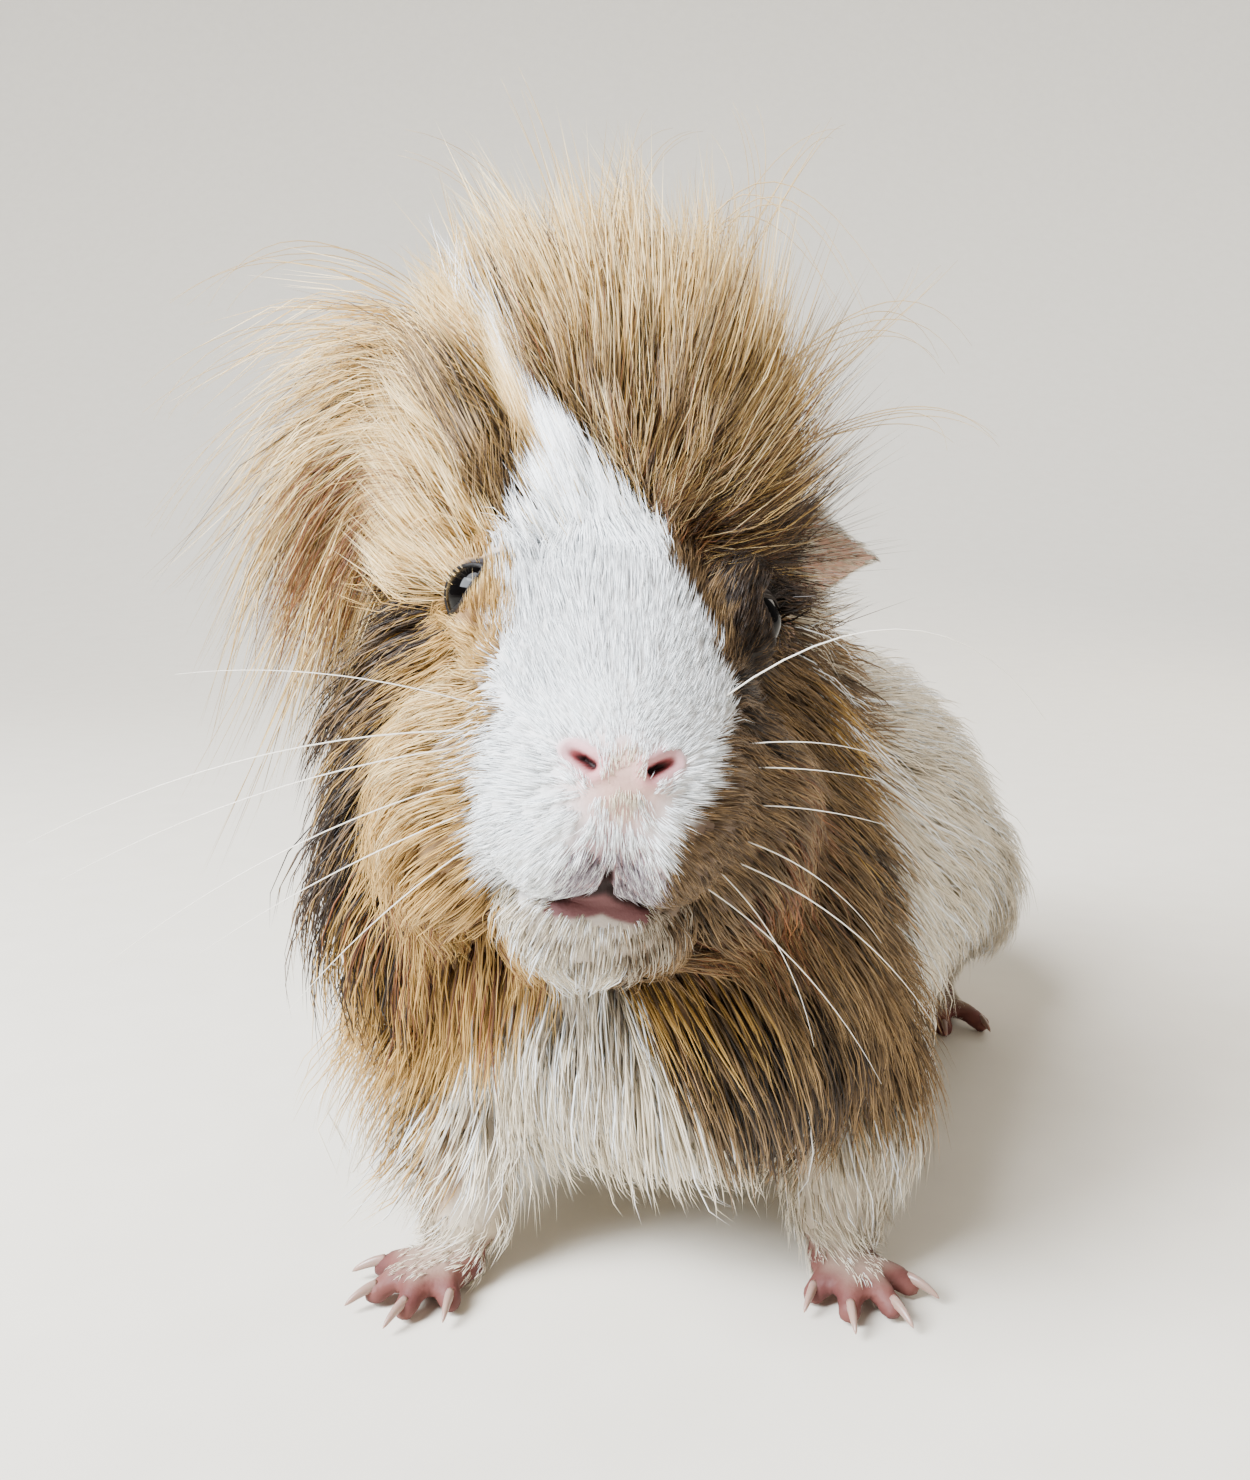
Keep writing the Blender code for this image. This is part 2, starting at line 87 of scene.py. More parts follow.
def smoothRun(xs, ys, at):
    # a cubic through the stations, with slopes from their neighbours
    xs, ys = np.array(xs, float), np.array(ys, float)
    slopes = np.gradient(ys, xs)
    i = np.clip(np.searchsorted(xs, at) - 1, 0, len(xs) - 2)
    step = xs[i + 1] - xs[i]
    t = np.clip((at - xs[i]) / step, 0, 1)
    return ((2 * t**3 - 3 * t**2 + 1) * ys[i] + (t**3 - 2 * t**2 + t) * step * slopes[i]
            + (3 * t**2 - 2 * t**3) * ys[i + 1] + (t**3 - t**2) * step * slopes[i + 1])


def meshObject(name, points, quads, tris):
    # points in metres; quads and tris are index arrays
    quads, tris = np.asarray(quads, int).reshape(-1, 4), np.asarray(tris, int).reshape(-1, 3)
    mesh = bpy.data.meshes.new(name)
    mesh.vertices.add(len(points))
    mesh.vertices.foreach_set("co", np.asarray(points, np.float32).ravel())
    mesh.loops.add(quads.size + tris.size)
    mesh.loops.foreach_set("vertex_index", np.concatenate([quads.ravel(), tris.ravel()]).astype(np.int32))
    mesh.polygons.add(len(quads) + len(tris))
    starts = np.concatenate([np.arange(len(quads)) * 4, quads.size + np.arange(len(tris)) * 3])
    mesh.polygons.foreach_set("loop_start", starts.astype(np.int32))
    mesh.update(calc_edges=True)
    mesh.shade_smooth()
    made = bpy.data.objects.new(name, mesh)
    bpy.context.scene.collection.objects.link(made)
    return made


def readPoints(mesh):
    # the mesh's points as rows of x, y and z
    points = np.empty(len(mesh.vertices) * 3, np.float32)
    mesh.vertices.foreach_get("co", points)
    return points.reshape(-1, 3).astype(float)


def readNormals(mesh):
    # the normal at each point, in the same order
    normals = np.empty(len(mesh.vertices) * 3, np.float32)
    mesh.vertex_normals.foreach_get("vector", normals)
    return normals.reshape(-1, 3).astype(float)


def boxMiddle(node):
    # the middle of a node's box: every place here comes from the frame's own nodes
    low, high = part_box(node)
    return (np.array(low) + np.array(high)) / 2


eyeSpots = {1: boxMiddle("eye_left"), -1: boxMiddle("eye_right")}
headLeft = unit(eyeSpots[1] - eyeSpots[-1])
headBack = unit(np.array((-headLeft[1], headLeft[0], 0)))
headUp = np.cross(headLeft, headBack)
headAxes = np.stack([headLeft, headBack, headUp])
eyesBack, eyesUp = 38.5, 17.3  # from the tip of the nose
noseTip = (eyeSpots[1] + eyeSpots[-1]) / 2 - (headBack * eyesBack + headUp * eyesUp) * mm
bodyMiddle = np.array((5.3, -2.85, 0)) * mm  # the trunk's own axis crosses the floor here


def inHead(points):
    # from the head's frame (left, back from the nose, up; millimetres) to the model's, in metres
    return noseTip + np.asarray(points, float) @ headAxes * mm


def toHead(points):
    # from the model's frame back to the head's, in millimetres
    return (points - noseTip) @ headAxes.T / mm


def inBody(points):
    # from the trunk's frame, in millimetres, to the model's
    return np.asarray(points, float) * mm + bodyMiddle


def toBody(points):
    # from the model's frame back to the trunk's
    return (points - bodyMiddle) / mm


def inRoom(points):
    # millimetres from the middle of the floor, with no turn
    return points * mm


def closedTube(rings):
    # rings of points along a body, walls of quads and a fan of triangles at either end
    count, sides = rings.shape[:2]
    points = np.vstack([rings.reshape(-1, 3), rings[0].mean(0), rings[-1].mean(0)])
    ring, side = np.meshgrid(np.arange(count - 1), np.arange(sides), indexing="ij")
    after = (side + 1) % sides
    quads = np.stack([ring * sides + side, ring * sides + after,
                      (ring + 1) * sides + after, (ring + 1) * sides + side], -1).reshape(-1, 4)
    around = np.arange(sides)
    onward = (around + 1) % sides
    base = (count - 1) * sides
    tris = np.vstack([np.stack([np.full(sides, count * sides), onward, around], -1),
                      np.stack([np.full(sides, count * sides + 1), base + around, base + onward], -1)])
    return points, quads, tris


def sectionLoft(spec, place, rings=40, sides=40):
    # egg-shaped sections: x = shift + half cos a, z = level + (up or down) sin a, where all sizes
    # are multiplied by a quarter ellipse at the two ends
    start, end = spec["along"][0], spec["along"][-1]
    turn = np.linspace(0, math.pi, rings)
    at = start + 0.002 * (end - start) + 0.996 * (end - start) * (1 - np.cos(turn)) / 2
    front = np.clip((at - start) / spec["ends"][0], 0, 1)
    back = np.clip((end - at) / spec["ends"][1], 0, 1)
    size = (np.sqrt(1 - (1 - front) ** 2) * np.sqrt(1 - (1 - back) ** 2))[:, None]
    run = {key: smoothRun(spec["along"], spec[key], at)[:, None]
           for key in ("shift", "level", "half", "up", "down")}
    angle = np.linspace(0, 2 * math.pi, sides, endpoint=False)[None, :]
    x = run["shift"] + run["half"] * size * np.cos(angle)
    z = run["level"] + np.where(np.sin(angle) > 0, run["up"], run["down"]) * size * np.sin(angle)
    y = np.broadcast_to(at[:, None], x.shape)
    points = np.stack([x, y, z], -1)
    if spec.get("upright"):  # sections stacked upwards: the level is then the distance to the back
        points = points[..., (0, 2, 1)]
    else:
        points = points[:, ::-1]
    return closedTube(place(points))


def ellipsoid(place, middle, radii, rings=14, sides=20):
    # x, y, z = radii times the unit sphere's latitude and longitude
    latitude = np.linspace(-math.pi / 2, math.pi / 2, rings)[:, None] * 0.995
    longitude = np.linspace(0, 2 * math.pi, sides, endpoint=False)[None, :]
    x = np.cos(latitude) * np.cos(longitude) * radii[0]
    y = np.cos(latitude) * np.sin(longitude) * radii[1]
    z = np.sin(latitude) * radii[2] * np.ones_like(longitude)
    return closedTube(place(np.stack([x, y, z], -1) + np.array(middle, float)))


def limb(points, radii, place, rings=16, sides=18, flat=1.0):
    # round sections whose middle and radius follow cubics through the stations
    points = np.array(points, float)
    t = np.linspace(0, 1, rings)
    knots = np.linspace(0, 1, len(points))
    path = np.stack([smoothRun(knots, points[:, k], t) for k in range(3)], -1)
    radius = smoothRun(knots, radii, t)
    caps = np.sqrt(1 - (1 - np.clip(np.minimum(t, 1 - t) / 0.12, 0, 1)) ** 2) * 0.98 + 0.02
    along = unit(np.gradient(path, axis=0))
    across = unit(np.cross(along, np.array((0.05, 0.02, 1.0))))
    above = np.cross(across, along)
    angle = np.linspace(0, 2 * math.pi, sides, endpoint=False)[None, :, None]
    size = (radius * caps)[:, None, None]
    rim = path[:, None, :] + size * (np.cos(angle) * across[:, None] + flat * np.sin(angle) * above[:, None])
    return closedTube(place(rim))


def joinForms(forms):
    # several closed forms as one list of points and faces
    points, quads, tris, start = [], [], [], 0
    for p, q, t in forms:
        points.append(p)
        quads.append(q + start)
        tris.append(t + start)
        start += len(p)
    return np.vstack(points), np.vstack(quads), np.vstack(tris)


# sections of the skin's forms in millimetres: where they stand along the form, then the shift and
# level of each middle, its half breadth, and its height above and below; then the rounded ends
trunkSkin = {
    "along": (-85, -60, -20, 30, 75, 121), "shift": (7, 0, -1, 0, 0, 0),
    "level": (46, 45, 44, 43, 42, 44), "half": (29, 37, 43, 48.5, 50, 45),
    "up": (42, 56, 58, 56, 51, 36), "down": (25, 27, 27, 26, 26, 25), "ends": (26, 46),
}
neckSkin = {
    "along": (40, 56, 80, 100, 118, 130), "shift": (0, 0, 0, 0, 0, 0),
    "level": (58, 60, 61, 65, 71, 77), "half": (29, 37, 38, 35, 30, 23),
    "up": (24, 30, 32, 32, 30, 22), "down": (15, 21, 25, 23, 19, 13), "ends": (14, 16),
    "upright": True,
}
headSkin = {
    "along": (0, 8, 20, 38, 58, 78, 92), "shift": (0, 0, 0, 0, 0, 0, 0),
    "level": (-5, -5, -5, -6, -6, -4, -2), "half": (13.4, 16.2, 19.4, 22.6, 26.5, 27, 24),
    "up": (10, 14.4, 22.8, 35.5, 41.5, 40, 33), "down": (10.5, 12.5, 17, 25, 30, 30, 27),
    "ends": (8.5, 30),
}
jawSkin = {
    "along": (7, 16, 32, 52, 64), "shift": (0, 0, 0, 0, 0),
    "level": (-20, -21, -22, -24, -26), "half": (8.8, 11.5, 16, 21, 22),
    "up": (5, 8, 12, 15, 15), "down": (6.5, 8, 10, 12, 12), "ends": (7, 22),
}
# feet: the heel or wrist on the floor and how many toes; the toes point to the claws of the frame
feet = {
    "forefoot_right": {"heel": (-19.2, -79.4), "toes": 4, "top": (-18.7, -64.9, 46), "knee": (-23.7, -66.9, 27),
                       "legRadii": (14, 11, 8, 6.2), "palm": (10, 6.0), "toeRadius": 2.1},
    "forefoot_left": {"heel": (38.8, -59.4), "toes": 4, "top": (32.3, -52.9, 46), "knee": (38.3, -50.5, 27),
                      "legRadii": (14, 11, 8, 6.2), "palm": (10, 6.0), "toeRadius": 2.1},
    "hindfoot_right": {"heel": (-30.7, 89.2), "toes": 3, "top": (-28.7, 63.2, 50), "knee": (-36.7, 73.2, 31),
                       "legRadii": (18, 14, 8, 5.6), "palm": (27, 5.8), "toeRadius": 2.4},
    "hindfoot_left": {"heel": (41.3, 89.2), "toes": 3, "top": (39.3, 63.2, 50), "knee": (49.3, 73.2, 31),
                      "legRadii": (18, 14, 8, 5.6), "palm": (27, 5.8), "toeRadius": 2.4},
}
ears = {  # a petal: where it leaves the head, reach, breadth, how far it hangs in degrees, thickness
    1: {"root": (20, 60, 27), "reach": 22, "breadth": 20, "droop": -6, "thick": 1.7},
    -1: {"root": (20, 60, 27), "reach": 19, "breadth": 19, "droop": 30, "thick": 1.7},
}
bodyPads = ((inBody, (-1, -24, 92), (28, 46, 20)),  # the hump over the shoulders
            (inHead, (0, 3.6, -1.5), (7.6, 4.0, 6.2)))  # the bridge between the nostrils
sidePads = (((6.4, 7.8, -9), (7.6, 7.8, 8.0)),  # whisker pad
            ((16, 38, -11), (13, 25, 17)),  # cheek
            ((17.2, 39.5, 17.5), (6.6, 9.5, 8.5)))  # brow


def neckPlace(points):
    # turned with the head but kept upright; heights are measured from the floor
    levelLeft = unit(np.array((headLeft[0], headLeft[1], 0)))
    flat = noseTip + (points[..., :1] * levelLeft + points[..., 1:2] * headBack) * mm
    flat[..., 2] = points[..., 2] * mm
    return flat


def toeTips(name):
    # the root of each claw of this foot, from the claws' boxes in the frame
    foot = feet[name]
    tips = []
    for i in range(foot["toes"]):
        claw = boxMiddle(f"claw_{name}_{i + 1}") / mm
        way = unit(np.array((claw[0] - foot["heel"][0], claw[1] - foot["heel"][1], 0)))
        tips.append(np.array((claw[0], claw[1], 2.3)) - way * 2.7)
    return tips


def footForms(name):
    # a palm, toes with a knuckle and a pad at the end, and the leg above
    foot = feet[name]
    heel = np.array((*foot["heel"], 0.0))
    tips = toeTips(name)
    forward = unit(np.mean([tip - heel for tip in tips], axis=0) * (1, 1, 0))
    length, width = foot["palm"]
    rear, front = heel + (0, 0, 3.4), heel + forward * length + (0, 0, 3.2)
    sole = [rear - forward * 2, (rear + front) / 2, front]
    forms = [limb(sole, [width * 0.8, width, width * 0.92], inRoom, flat=0.55)]
    for tip in tips:
        root = front + (tip - front) * 0.05 - forward * 3.5
        root[2] = 3.6
        knuckle = root + (tip - root) * 0.6
        knuckle[2] = 3.9
        end = tip.copy()
        end[2] = 2.0
        r = foot["toeRadius"]
        forms.append(limb([root, knuckle, end], [r * 1.15, r * 1.02, r * 0.92], inRoom, rings=14, sides=14))
        forms.append(ellipsoid(inRoom, end + (0, 0, 0.1), (r * 1.02, r * 1.02, r * 0.95)))
    ankle = rear + (0, 0, 0.4)
    shin = np.array(foot["knee"]) * 0.45 + ankle * 0.55
    forms.append(limb([foot["top"], foot["knee"], shin, ankle], foot["legRadii"], inRoom, rings=24, sides=24))
    return forms


def earForm(side):
    # u runs from the root to the edge, v from top to bottom; the petal is cupped towards the front
    ear = ears[side]
    u, v = np.meshgrid(np.linspace(0, 1, 26), np.linspace(-1, 1, 29), indexing="ij")
    droop = math.radians(ear["droop"])
    width = ear["breadth"] / 2 * (0.72 + 0.28 * np.sin(math.pi * u)) * np.sqrt(1 - 0.93 * u**5)
    out = u * ear["reach"] * (1 - 0.30 * v**2 * u)
    x = ear["root"][0] + out * math.cos(droop) - v * width * math.sin(droop) * 0.6
    z = ear["root"][2] - out * math.sin(droop) - v * width * 0.9
    y = ear["root"][1] + 5.5 * v**2 * (0.4 + 0.6 * u) - 6 * u + 1.6 * np.exp(-(((v + 0.2) / 0.25) ** 2)) * (1 - u)
    sheet = np.stack([x * side, y, z], -1)
    half = np.array((0, ear["thick"] / 2, 0)) * (1 - 0.35 * np.maximum(u, np.abs(v))[..., None] ** 4)
    loop = np.concatenate([sheet - half, (sheet + half)[:, ::-1]], axis=1)  # front, then back
    return closedTube(inHead(loop if side < 0 else loop[:, ::-1]))


skinSpec = {"voxel": 1.2, "soften": 0.5, "rounds": 3}


def makeSkin():
    # all forms joined, then remeshed into one closed surface and softened where they met
    forms = [sectionLoft(trunkSkin, inBody, 60, 56), sectionLoft(neckSkin, neckPlace, 36, 44),
             sectionLoft(headSkin, inHead, 50, 48), sectionLoft(jawSkin, inHead, 30, 30)]
    forms += [ellipsoid(*pad) for pad in bodyPads]
    for side in (-1, 1):
        forms += [ellipsoid(inHead, (x * side, y, z), radii) for (x, y, z), radii in sidePads]
        forms.append(earForm(side))
    for name in feet:
        forms += footForms(name)
    raw = meshObject("skinForms", *joinForms(forms))
    remesh = raw.modifiers.new("One skin", "REMESH")
    remesh.mode = "VOXEL"
    remesh.voxel_size = skinSpec["voxel"] * mm
    soften = raw.modifiers.new("Soften", "SMOOTH")
    soften.factor, soften.iterations = skinSpec["soften"], skinSpec["rounds"]
    graph = bpy.context.evaluated_depsgraph_get()
    graph.update()
    mesh = bpy.data.meshes.new_from_object(raw.evaluated_get(graph))
    bpy.data.objects.remove(raw)
    skin = bpy.data.objects.new("skin", mesh)
    bpy.context.scene.collection.objects.link(skin)
    return skin


skin = makeSkin()


def refineNear(mesh, spots):
    # each edge within the radius of a spot is halved, so that small folds have points to move
    work = bmesh.new()
    work.from_mesh(mesh)
    for middle, radius in spots:
        middle, reach = Vector(middle), radius * mm
        near = [edge for edge in work.edges if (edge.verts[0].co - middle).length < reach]
        bmesh.ops.subdivide_edges(work, edges=near, cuts=1, use_grid_fill=True)
    work.to_mesh(mesh)
    work.free()


def lineDistance(points, start, end):
    # how far each point is from the nearest point of a straight line with two ends
    start, end = np.array(start, float), np.array(end, float)
    t = np.clip((points - start) @ (end - start) / ((end - start) @ (end - start)), 0, 1)
    return np.linalg.norm(points - (start + t[:, None] * (end - start)), axis=1)


def bell(distance, width):
    # e to the power of minus (distance / width) squared
    return np.exp(-((distance / width) ** 2))


def awayFrom(points, middle, radii=(1, 1, 1)):
    # distance from the middle counted in radii: 1 on the ellipsoid, more outside
    return np.linalg.norm((points - middle) / radii, axis=1)


eyeball = {"radius": 6.0, "bulge": 0.35, "spread": 0.55}
lids = {  # which way each eye looks, how its slit runs, the opening's half sizes and the rim's height
    "axis": {-1: (-0.83, -0.54, 0.14), 1: (0.93, -0.34, 0.14)}, "slit": (0.0, -0.70, 0.71),
    "halfLong": 4.9, "halfHigh": 2.5, "rim": 0.4, "fold": 0.35, "sunk": 5.0,
}


def lidFrame(side):
    # the way the eye looks, the way its opening runs, and the way across it
    out = unit(np.array(lids["axis"][side]))
    slit = np.array(lids["slit"]) - (np.array(lids["slit"]) @ out) * out
    return out, unit(slit), np.cross(out, unit(slit))


def openingOf(points, side, wider=1.0):
    # 1 on the edge of the lids' opening, less inside, more outside; and the angle from the eye's axis
    out, slit, across = lidFrame(side)
    way = unit(points - toHead(eyeSpots[side]))
    angle = np.arccos(np.clip(way @ out, -1, 1))
    flat = np.stack([way @ slit, way @ across], -1)
    apart = np.maximum(np.linalg.norm(flat, axis=1, keepdims=True), 1e-9)
    flat = flat / apart * (angle * eyeball["radius"])[:, None]
    long = np.abs(flat[:, 0] / lids["halfLong"] / wider)
    high = lids["halfHigh"] * (1 - 0.45 * np.minimum(long, 1) ** 1.5)  # an almond, not an oval
    return np.sqrt(long**2 + (flat[:, 1] / high) ** 2), angle


nostrils = {"inner": (3.7, 0.2, 0.3), "outer": (6.2, 1.6, 1.6), "width": 0.52, "depth": 2.3,
            "wing": 0.4, "wingAway": 1.6, "wingWidth": 0.7}
cleft = {"top": (0, 2.2, -11), "foot": (0, 4.6, -15.6), "width": 0.6, "depth": 2.2}
mouth = {"line": ((0, 4.8, -16.5), (4.6, 7.0, -17.1), (9.0, 12.0, -17.4)), "width": 0.8, "depth": 3.0,
         "lowerLip": ((-4.5, 9, -19.6), (4.5, 9, -19.6)), "lipWidth": 2.0, "lipRise": 0.8}


def oneSide(h):
    # both sides of the face folded on to the left one
    return np.abs(h) * (1, 0, 0) + h * (0, 1, 1)


def mouthDistance(h):
    # how far from the line between the lips
    start, bend, end = mouth["line"]
    return np.minimum(lineDistance(oneSide(h), start, bend), lineDistance(oneSide(h), bend, end))


def nostrilDistance(h):
    # how far from the line along the nearer nostril
    return lineDistance(oneSide(h), nostrils["inner"], nostrils["outer"])


def cleftDistance(h):
    # how far from the cleft of the upper lip
    return lineDistance(h, cleft["top"], cleft["foot"])


def nearEye(h, side, reach):
    # whether within the reach of the middle of this eye
    return awayFrom(h, toHead(eyeSpots[side])) < reach


def sculptHead(mesh):
    # bells along the nostrils, the cleft and the mouth are pressed in along the normal, and the rims
    # beside them raised; then the skin over each eye is laid on its ball, with a rim round the opening
    h = toHead(readPoints(mesh))
    way = readNormals(mesh) @ headAxes.T
    near = nostrilDistance(h)
    wing = nostrils["wing"] * bell(near - nostrils["wingAway"], nostrils["wingWidth"]) * (h[:, 1] < 8)
    push = -nostrils["depth"] * bell(near, nostrils["width"]) + wing
    push -= cleft["depth"] * bell(cleftDistance(h), cleft["width"])
    lip = mouthDistance(h)
    push -= mouth["depth"] * bell(lip, mouth["width"])
    lower = bell(lineDistance(h, *mouth["lowerLip"]), mouth["lipWidth"])
    push += mouth["lipRise"] * lower * smoothStep(0.5, 1.6, lip)
    h = h + way * push[:, None]
    for side in (1, -1):
        ball = toHead(eyeSpots[side])
        opening, angle = openingOf(h, side)
        radius = awayFrom(h, ball)
        rim = eyeball["radius"] + lids["rim"] - lids["fold"] * bell(opening - 1.42, 0.13)
        target = lids["sunk"] + (rim - lids["sunk"]) * smoothStep(0.90, 1.04, opening)
        blend = smoothStep(0.95, 1.45, angle)
        moved = target + (np.maximum(radius, target) - target) * blend
        inside = (angle < 1.5) & (radius < 14)
        h = np.where(inside[:, None], ball + unit(h - ball) * moved[:, None], h)
    points = inHead(h)
    points[:, 2] = np.maximum(points[:, 2], 0.05 * mm)
    mesh.vertices.foreach_set("co", points.astype(np.float32).ravel())
    mesh.update()


refineNear(skin.data, [(inHead((0, 3, -7)), 15), (eyeSpots[1], 10.5), (eyeSpots[-1], 10.5),  # once
                       (inHead((0, 2, -3)), 11), (eyeSpots[1], 8.2), (eyeSpots[-1], 8.2),  # again
                       (inHead((0, 8, -17)), 9)])  # and the lips
restHead = toHead(readPoints(skin.data))  # before the folds are pressed in, to tell what lies in them
sculptHead(skin.data)
skin.data.shade_smooth()
print("skin", sum(len(p.vertices) - 2 for p in skin.data.polygons), "triangles")


def smoothNoise(points, size, seed):
    # a sum of seven sine waves in random directions, about -1 to 1; points in metres, size in mm
    rng = np.random.default_rng(seed)
    total = 0
    for way in unit(rng.normal(size=(7, 3))):
        length = size * rng.uniform(0.7, 1.5)
        total = total + np.sin(points / mm @ way * 2 * math.pi / length + rng.uniform(0, 7))
    return total / 3.2


coatColors = {  # root, middle and tip of a hair: the hair's own colour along its length, with the roots darker as painted shade deep in the coat and the tips paler as painted light where the coat catches it
    "white": ("#e6e9ea", "#f4f8fa", "#fcfeff"),
    "ivory": ("#b9ab93", "#dcd0b9", "#ebe2d0"),
    "cream": ("#a98850", "#d8b87c", "#ead2a4"),
    "gold": ("#6f4f26", "#b08a49", "#d0ab68"),
    "rust": ("#341b0d", "#623a1f", "#81532f"),
    "agouti": ("#2c1f13", "#634c30", "#9c7d52"),
    "dark": ("#100906", "#24180e", "#46311d"),
    # a shaded copy of ivory: painted shade under the chin and on the bib
    "shadedBuff": ("#6f6252", "#a69a87", "#c6bbaa"),
    "lilac": ("#5f4b55", "#8f838c", "#c8c3cd"),
}
colorNames = list(coatColors)
colorTable = np.array([[linearColor(c) for c in coatColors[name]] for name in colorNames])

blazeEdges = {  # height above the nose; the edges towards the animal's right and left, from the middle
    "up": (-64, -50, -42, -36, -30, -27, -22, -17, -10, -4, 3, 11, 20, 25, 31, 34, 37, 42, 45, 47, 57, 69),
    "right": (-20, -7, -2, -3.5, -7, -10.5, -14, -16.5, -19, -19.8, -19,
              -17, -16.2, -16.8, -17, -16.5, -15.8, -14, -14.8, -16.8, -22, -30),
    "left": (24, 12, 8, 5, 4, 4, 4.5, 5.5, 6.5, 9.5, 14.2,
             14.8, 11.5, 8.5, 5, 1, -2.2, -8, -12.5, -16, -21.2, -29.3),
}
patches = {  # on either side of the head: middle, radii, colour, strength
    -1: (((-21, 31, 24), (5, 7, 6), "cream", 0.6), ((-33, 56, 14), (9, 12, 11), "dark", 0.85),
         ((-31, 58, 31), (8, 9, 8), "rust", 0.9), ((-45, 60, -12), (11, 30, 34), "agouti", 0.9),
         ((-46, 58, -30), (10, 22, 30), "dark", 0.65), ((-34, 50, -44), (12, 14, 12), "dark", 0.45),
         ((-15, 34, -43), (13, 14, 12), "gold", 0.9), ((-20, 40, -40), (17, 22, 15), "rust", 0.25),
         ((-24, 30, -6), (9, 16, 18), "cream", 0.6)),
    # the animal's left: its own brown and dark markings, made darker here as painted shade on the side away from the
    # light
    1: (((17, 44, 34), (8, 13, 12), "dark", 0.55), ((27, 50, 20), (12, 15, 14), "dark", 1.0),
        ((21, 38, 18), (8, 12, 11), "dark", 0.9), ((22, 34, 6), (8, 18, 9), "dark", 0.6),
        ((32, 50, -16), (20, 30, 34), "agouti", 0.85), ((26, 34, -20), (12, 16, 16), "rust", 0.45),
        ((42, 66, -4), (7, 14, 12), "gold", 0.8), ((44, 64, -28), (6, 16, 20), "gold", 0.7),
        ((38, 56, -30), (14, 14, 20), "dark", 0.55), ((18, 34, -43), (15, 14, 6), "gold", 0.8),
        ((30, 42, -53), (18, 18, 15), "agouti", 0.9), ((30, 42, -53), (18, 18, 15), "dark", 0.55),
        ((40, 58, -76), (20, 22, 8), "gold", 0.8), ((38, 57, 28), (9, 8, 13), "ivory", 0.85)),
}
saddlePatch = ((6, -30, 96), (40, 42, 30))  # on the trunk: middle and radii
legPatch = ((-27, -76, 18), (10, 13, 11))  # on the right foreleg


def blazeSides(up):
    # the blaze's two edges at these heights above the nose
    return [smoothRun(blazeEdges["up"], blazeEdges[key], up) for key in ("right", "left")]


def blend(weights, name, mask):
    # the shares move towards one colour by the mask
    one = np.zeros(len(colorNames))
    one[colorNames.index(name)] = 1
    return weights + (one - weights) * np.clip(mask, 0, 1)[:, None]


def markings(points):
    # the share of each coat colour at each point: gold on the right and brown on the left, then the
    # patches, the white blaze, the tinted lip, painted shade under the chin and on the bib, and the white body with
    # its saddle
    h, b = toHead(points), toBody(points)
    wobble = smoothNoise(points, 11, 3) * 1.5 + smoothNoise(points, 4, 4) * 0.5
    x, y, z = h.T
    weights = blend(np.zeros((len(points), len(colorNames))), "gold", np.ones(len(points)))
    weights = blend(weights, "agouti", smoothStep(-4, 1, x - np.interp(z, (40, 45, 69), (0, -12, -27))))
    for side in (-1, 1):
        for middle, radii, name, strength in patches[side]:
            far = awayFrom(h, middle, radii) + wobble * 0.08
            weights = blend(weights, name, strength * smoothStep(1.25, 0.75, far) * (x * side > -2))
    right, left = blazeSides(z)
    blaze = smoothStep(-1.6, 1.2, x + wobble - right) * smoothStep(-1.6, 1.2, left - x - wobble)
    weights = blend(weights, "white", blaze * smoothStep(92, 78, y))
    nose = smoothStep(1.2, 0.7, awayFrom(h, (0.4, 0.5, -1.5), (3.0, 3, 4.8)))
    lip = 0.8 * smoothStep(1.15, 0.6, awayFrom(h, (0, 4, -14.5), (8, 7, 5.5))) * (z > -17.5)
    # painted shade under the head: the chin and the bib turn a darker buff
    chin = 0.75 * smoothStep(1.2, 0.7, awayFrom(h, (0, 14, -23), (12, 14, 9))) * (z < -17.5)
    bib = 0.8 * smoothStep(1.2, 0.5, awayFrom(h, (2, 34, -44), (10, 24, 20)))
    for name, mask in (("ivory", nose), ("lilac", lip), ("shadedBuff", chin)):
        weights = blend(weights, name, mask)
    weights = blend(weights, "shadedBuff", bib * weights[:, 0] * (z < -28))
    saddle = awayFrom(b, *saddlePatch) + wobble * 0.05
    body = smoothStep(-47, -34, b[:, 1] + 0.12 * (b[:, 2] - 60) + 1.5 * wobble)
    low = smoothStep(27.5, 23, b[:, 2] + 1.6 * wobble + 0.05 * np.maximum(x, 0))
    weights = blend(weights, "white", np.maximum(body, low))
    weights = blend(weights, "ivory", np.maximum(0.8 * body, 0.85 * smoothStep(-18, -22, z)) * weights[:, 0])
    weights = blend(weights, "agouti", smoothStep(1.15, 0.8, saddle) * body * 0.85)
    weights = blend(weights, "gold", 0.8 * smoothStep(1.2, 0.7, awayFrom(points / mm, *legPatch)))
    # painted shade: the hair near the floor turns ivory, duller than the white
    return blend(weights, "ivory", 0.8 * smoothStep(13, 8, points[:, 2] / mm))


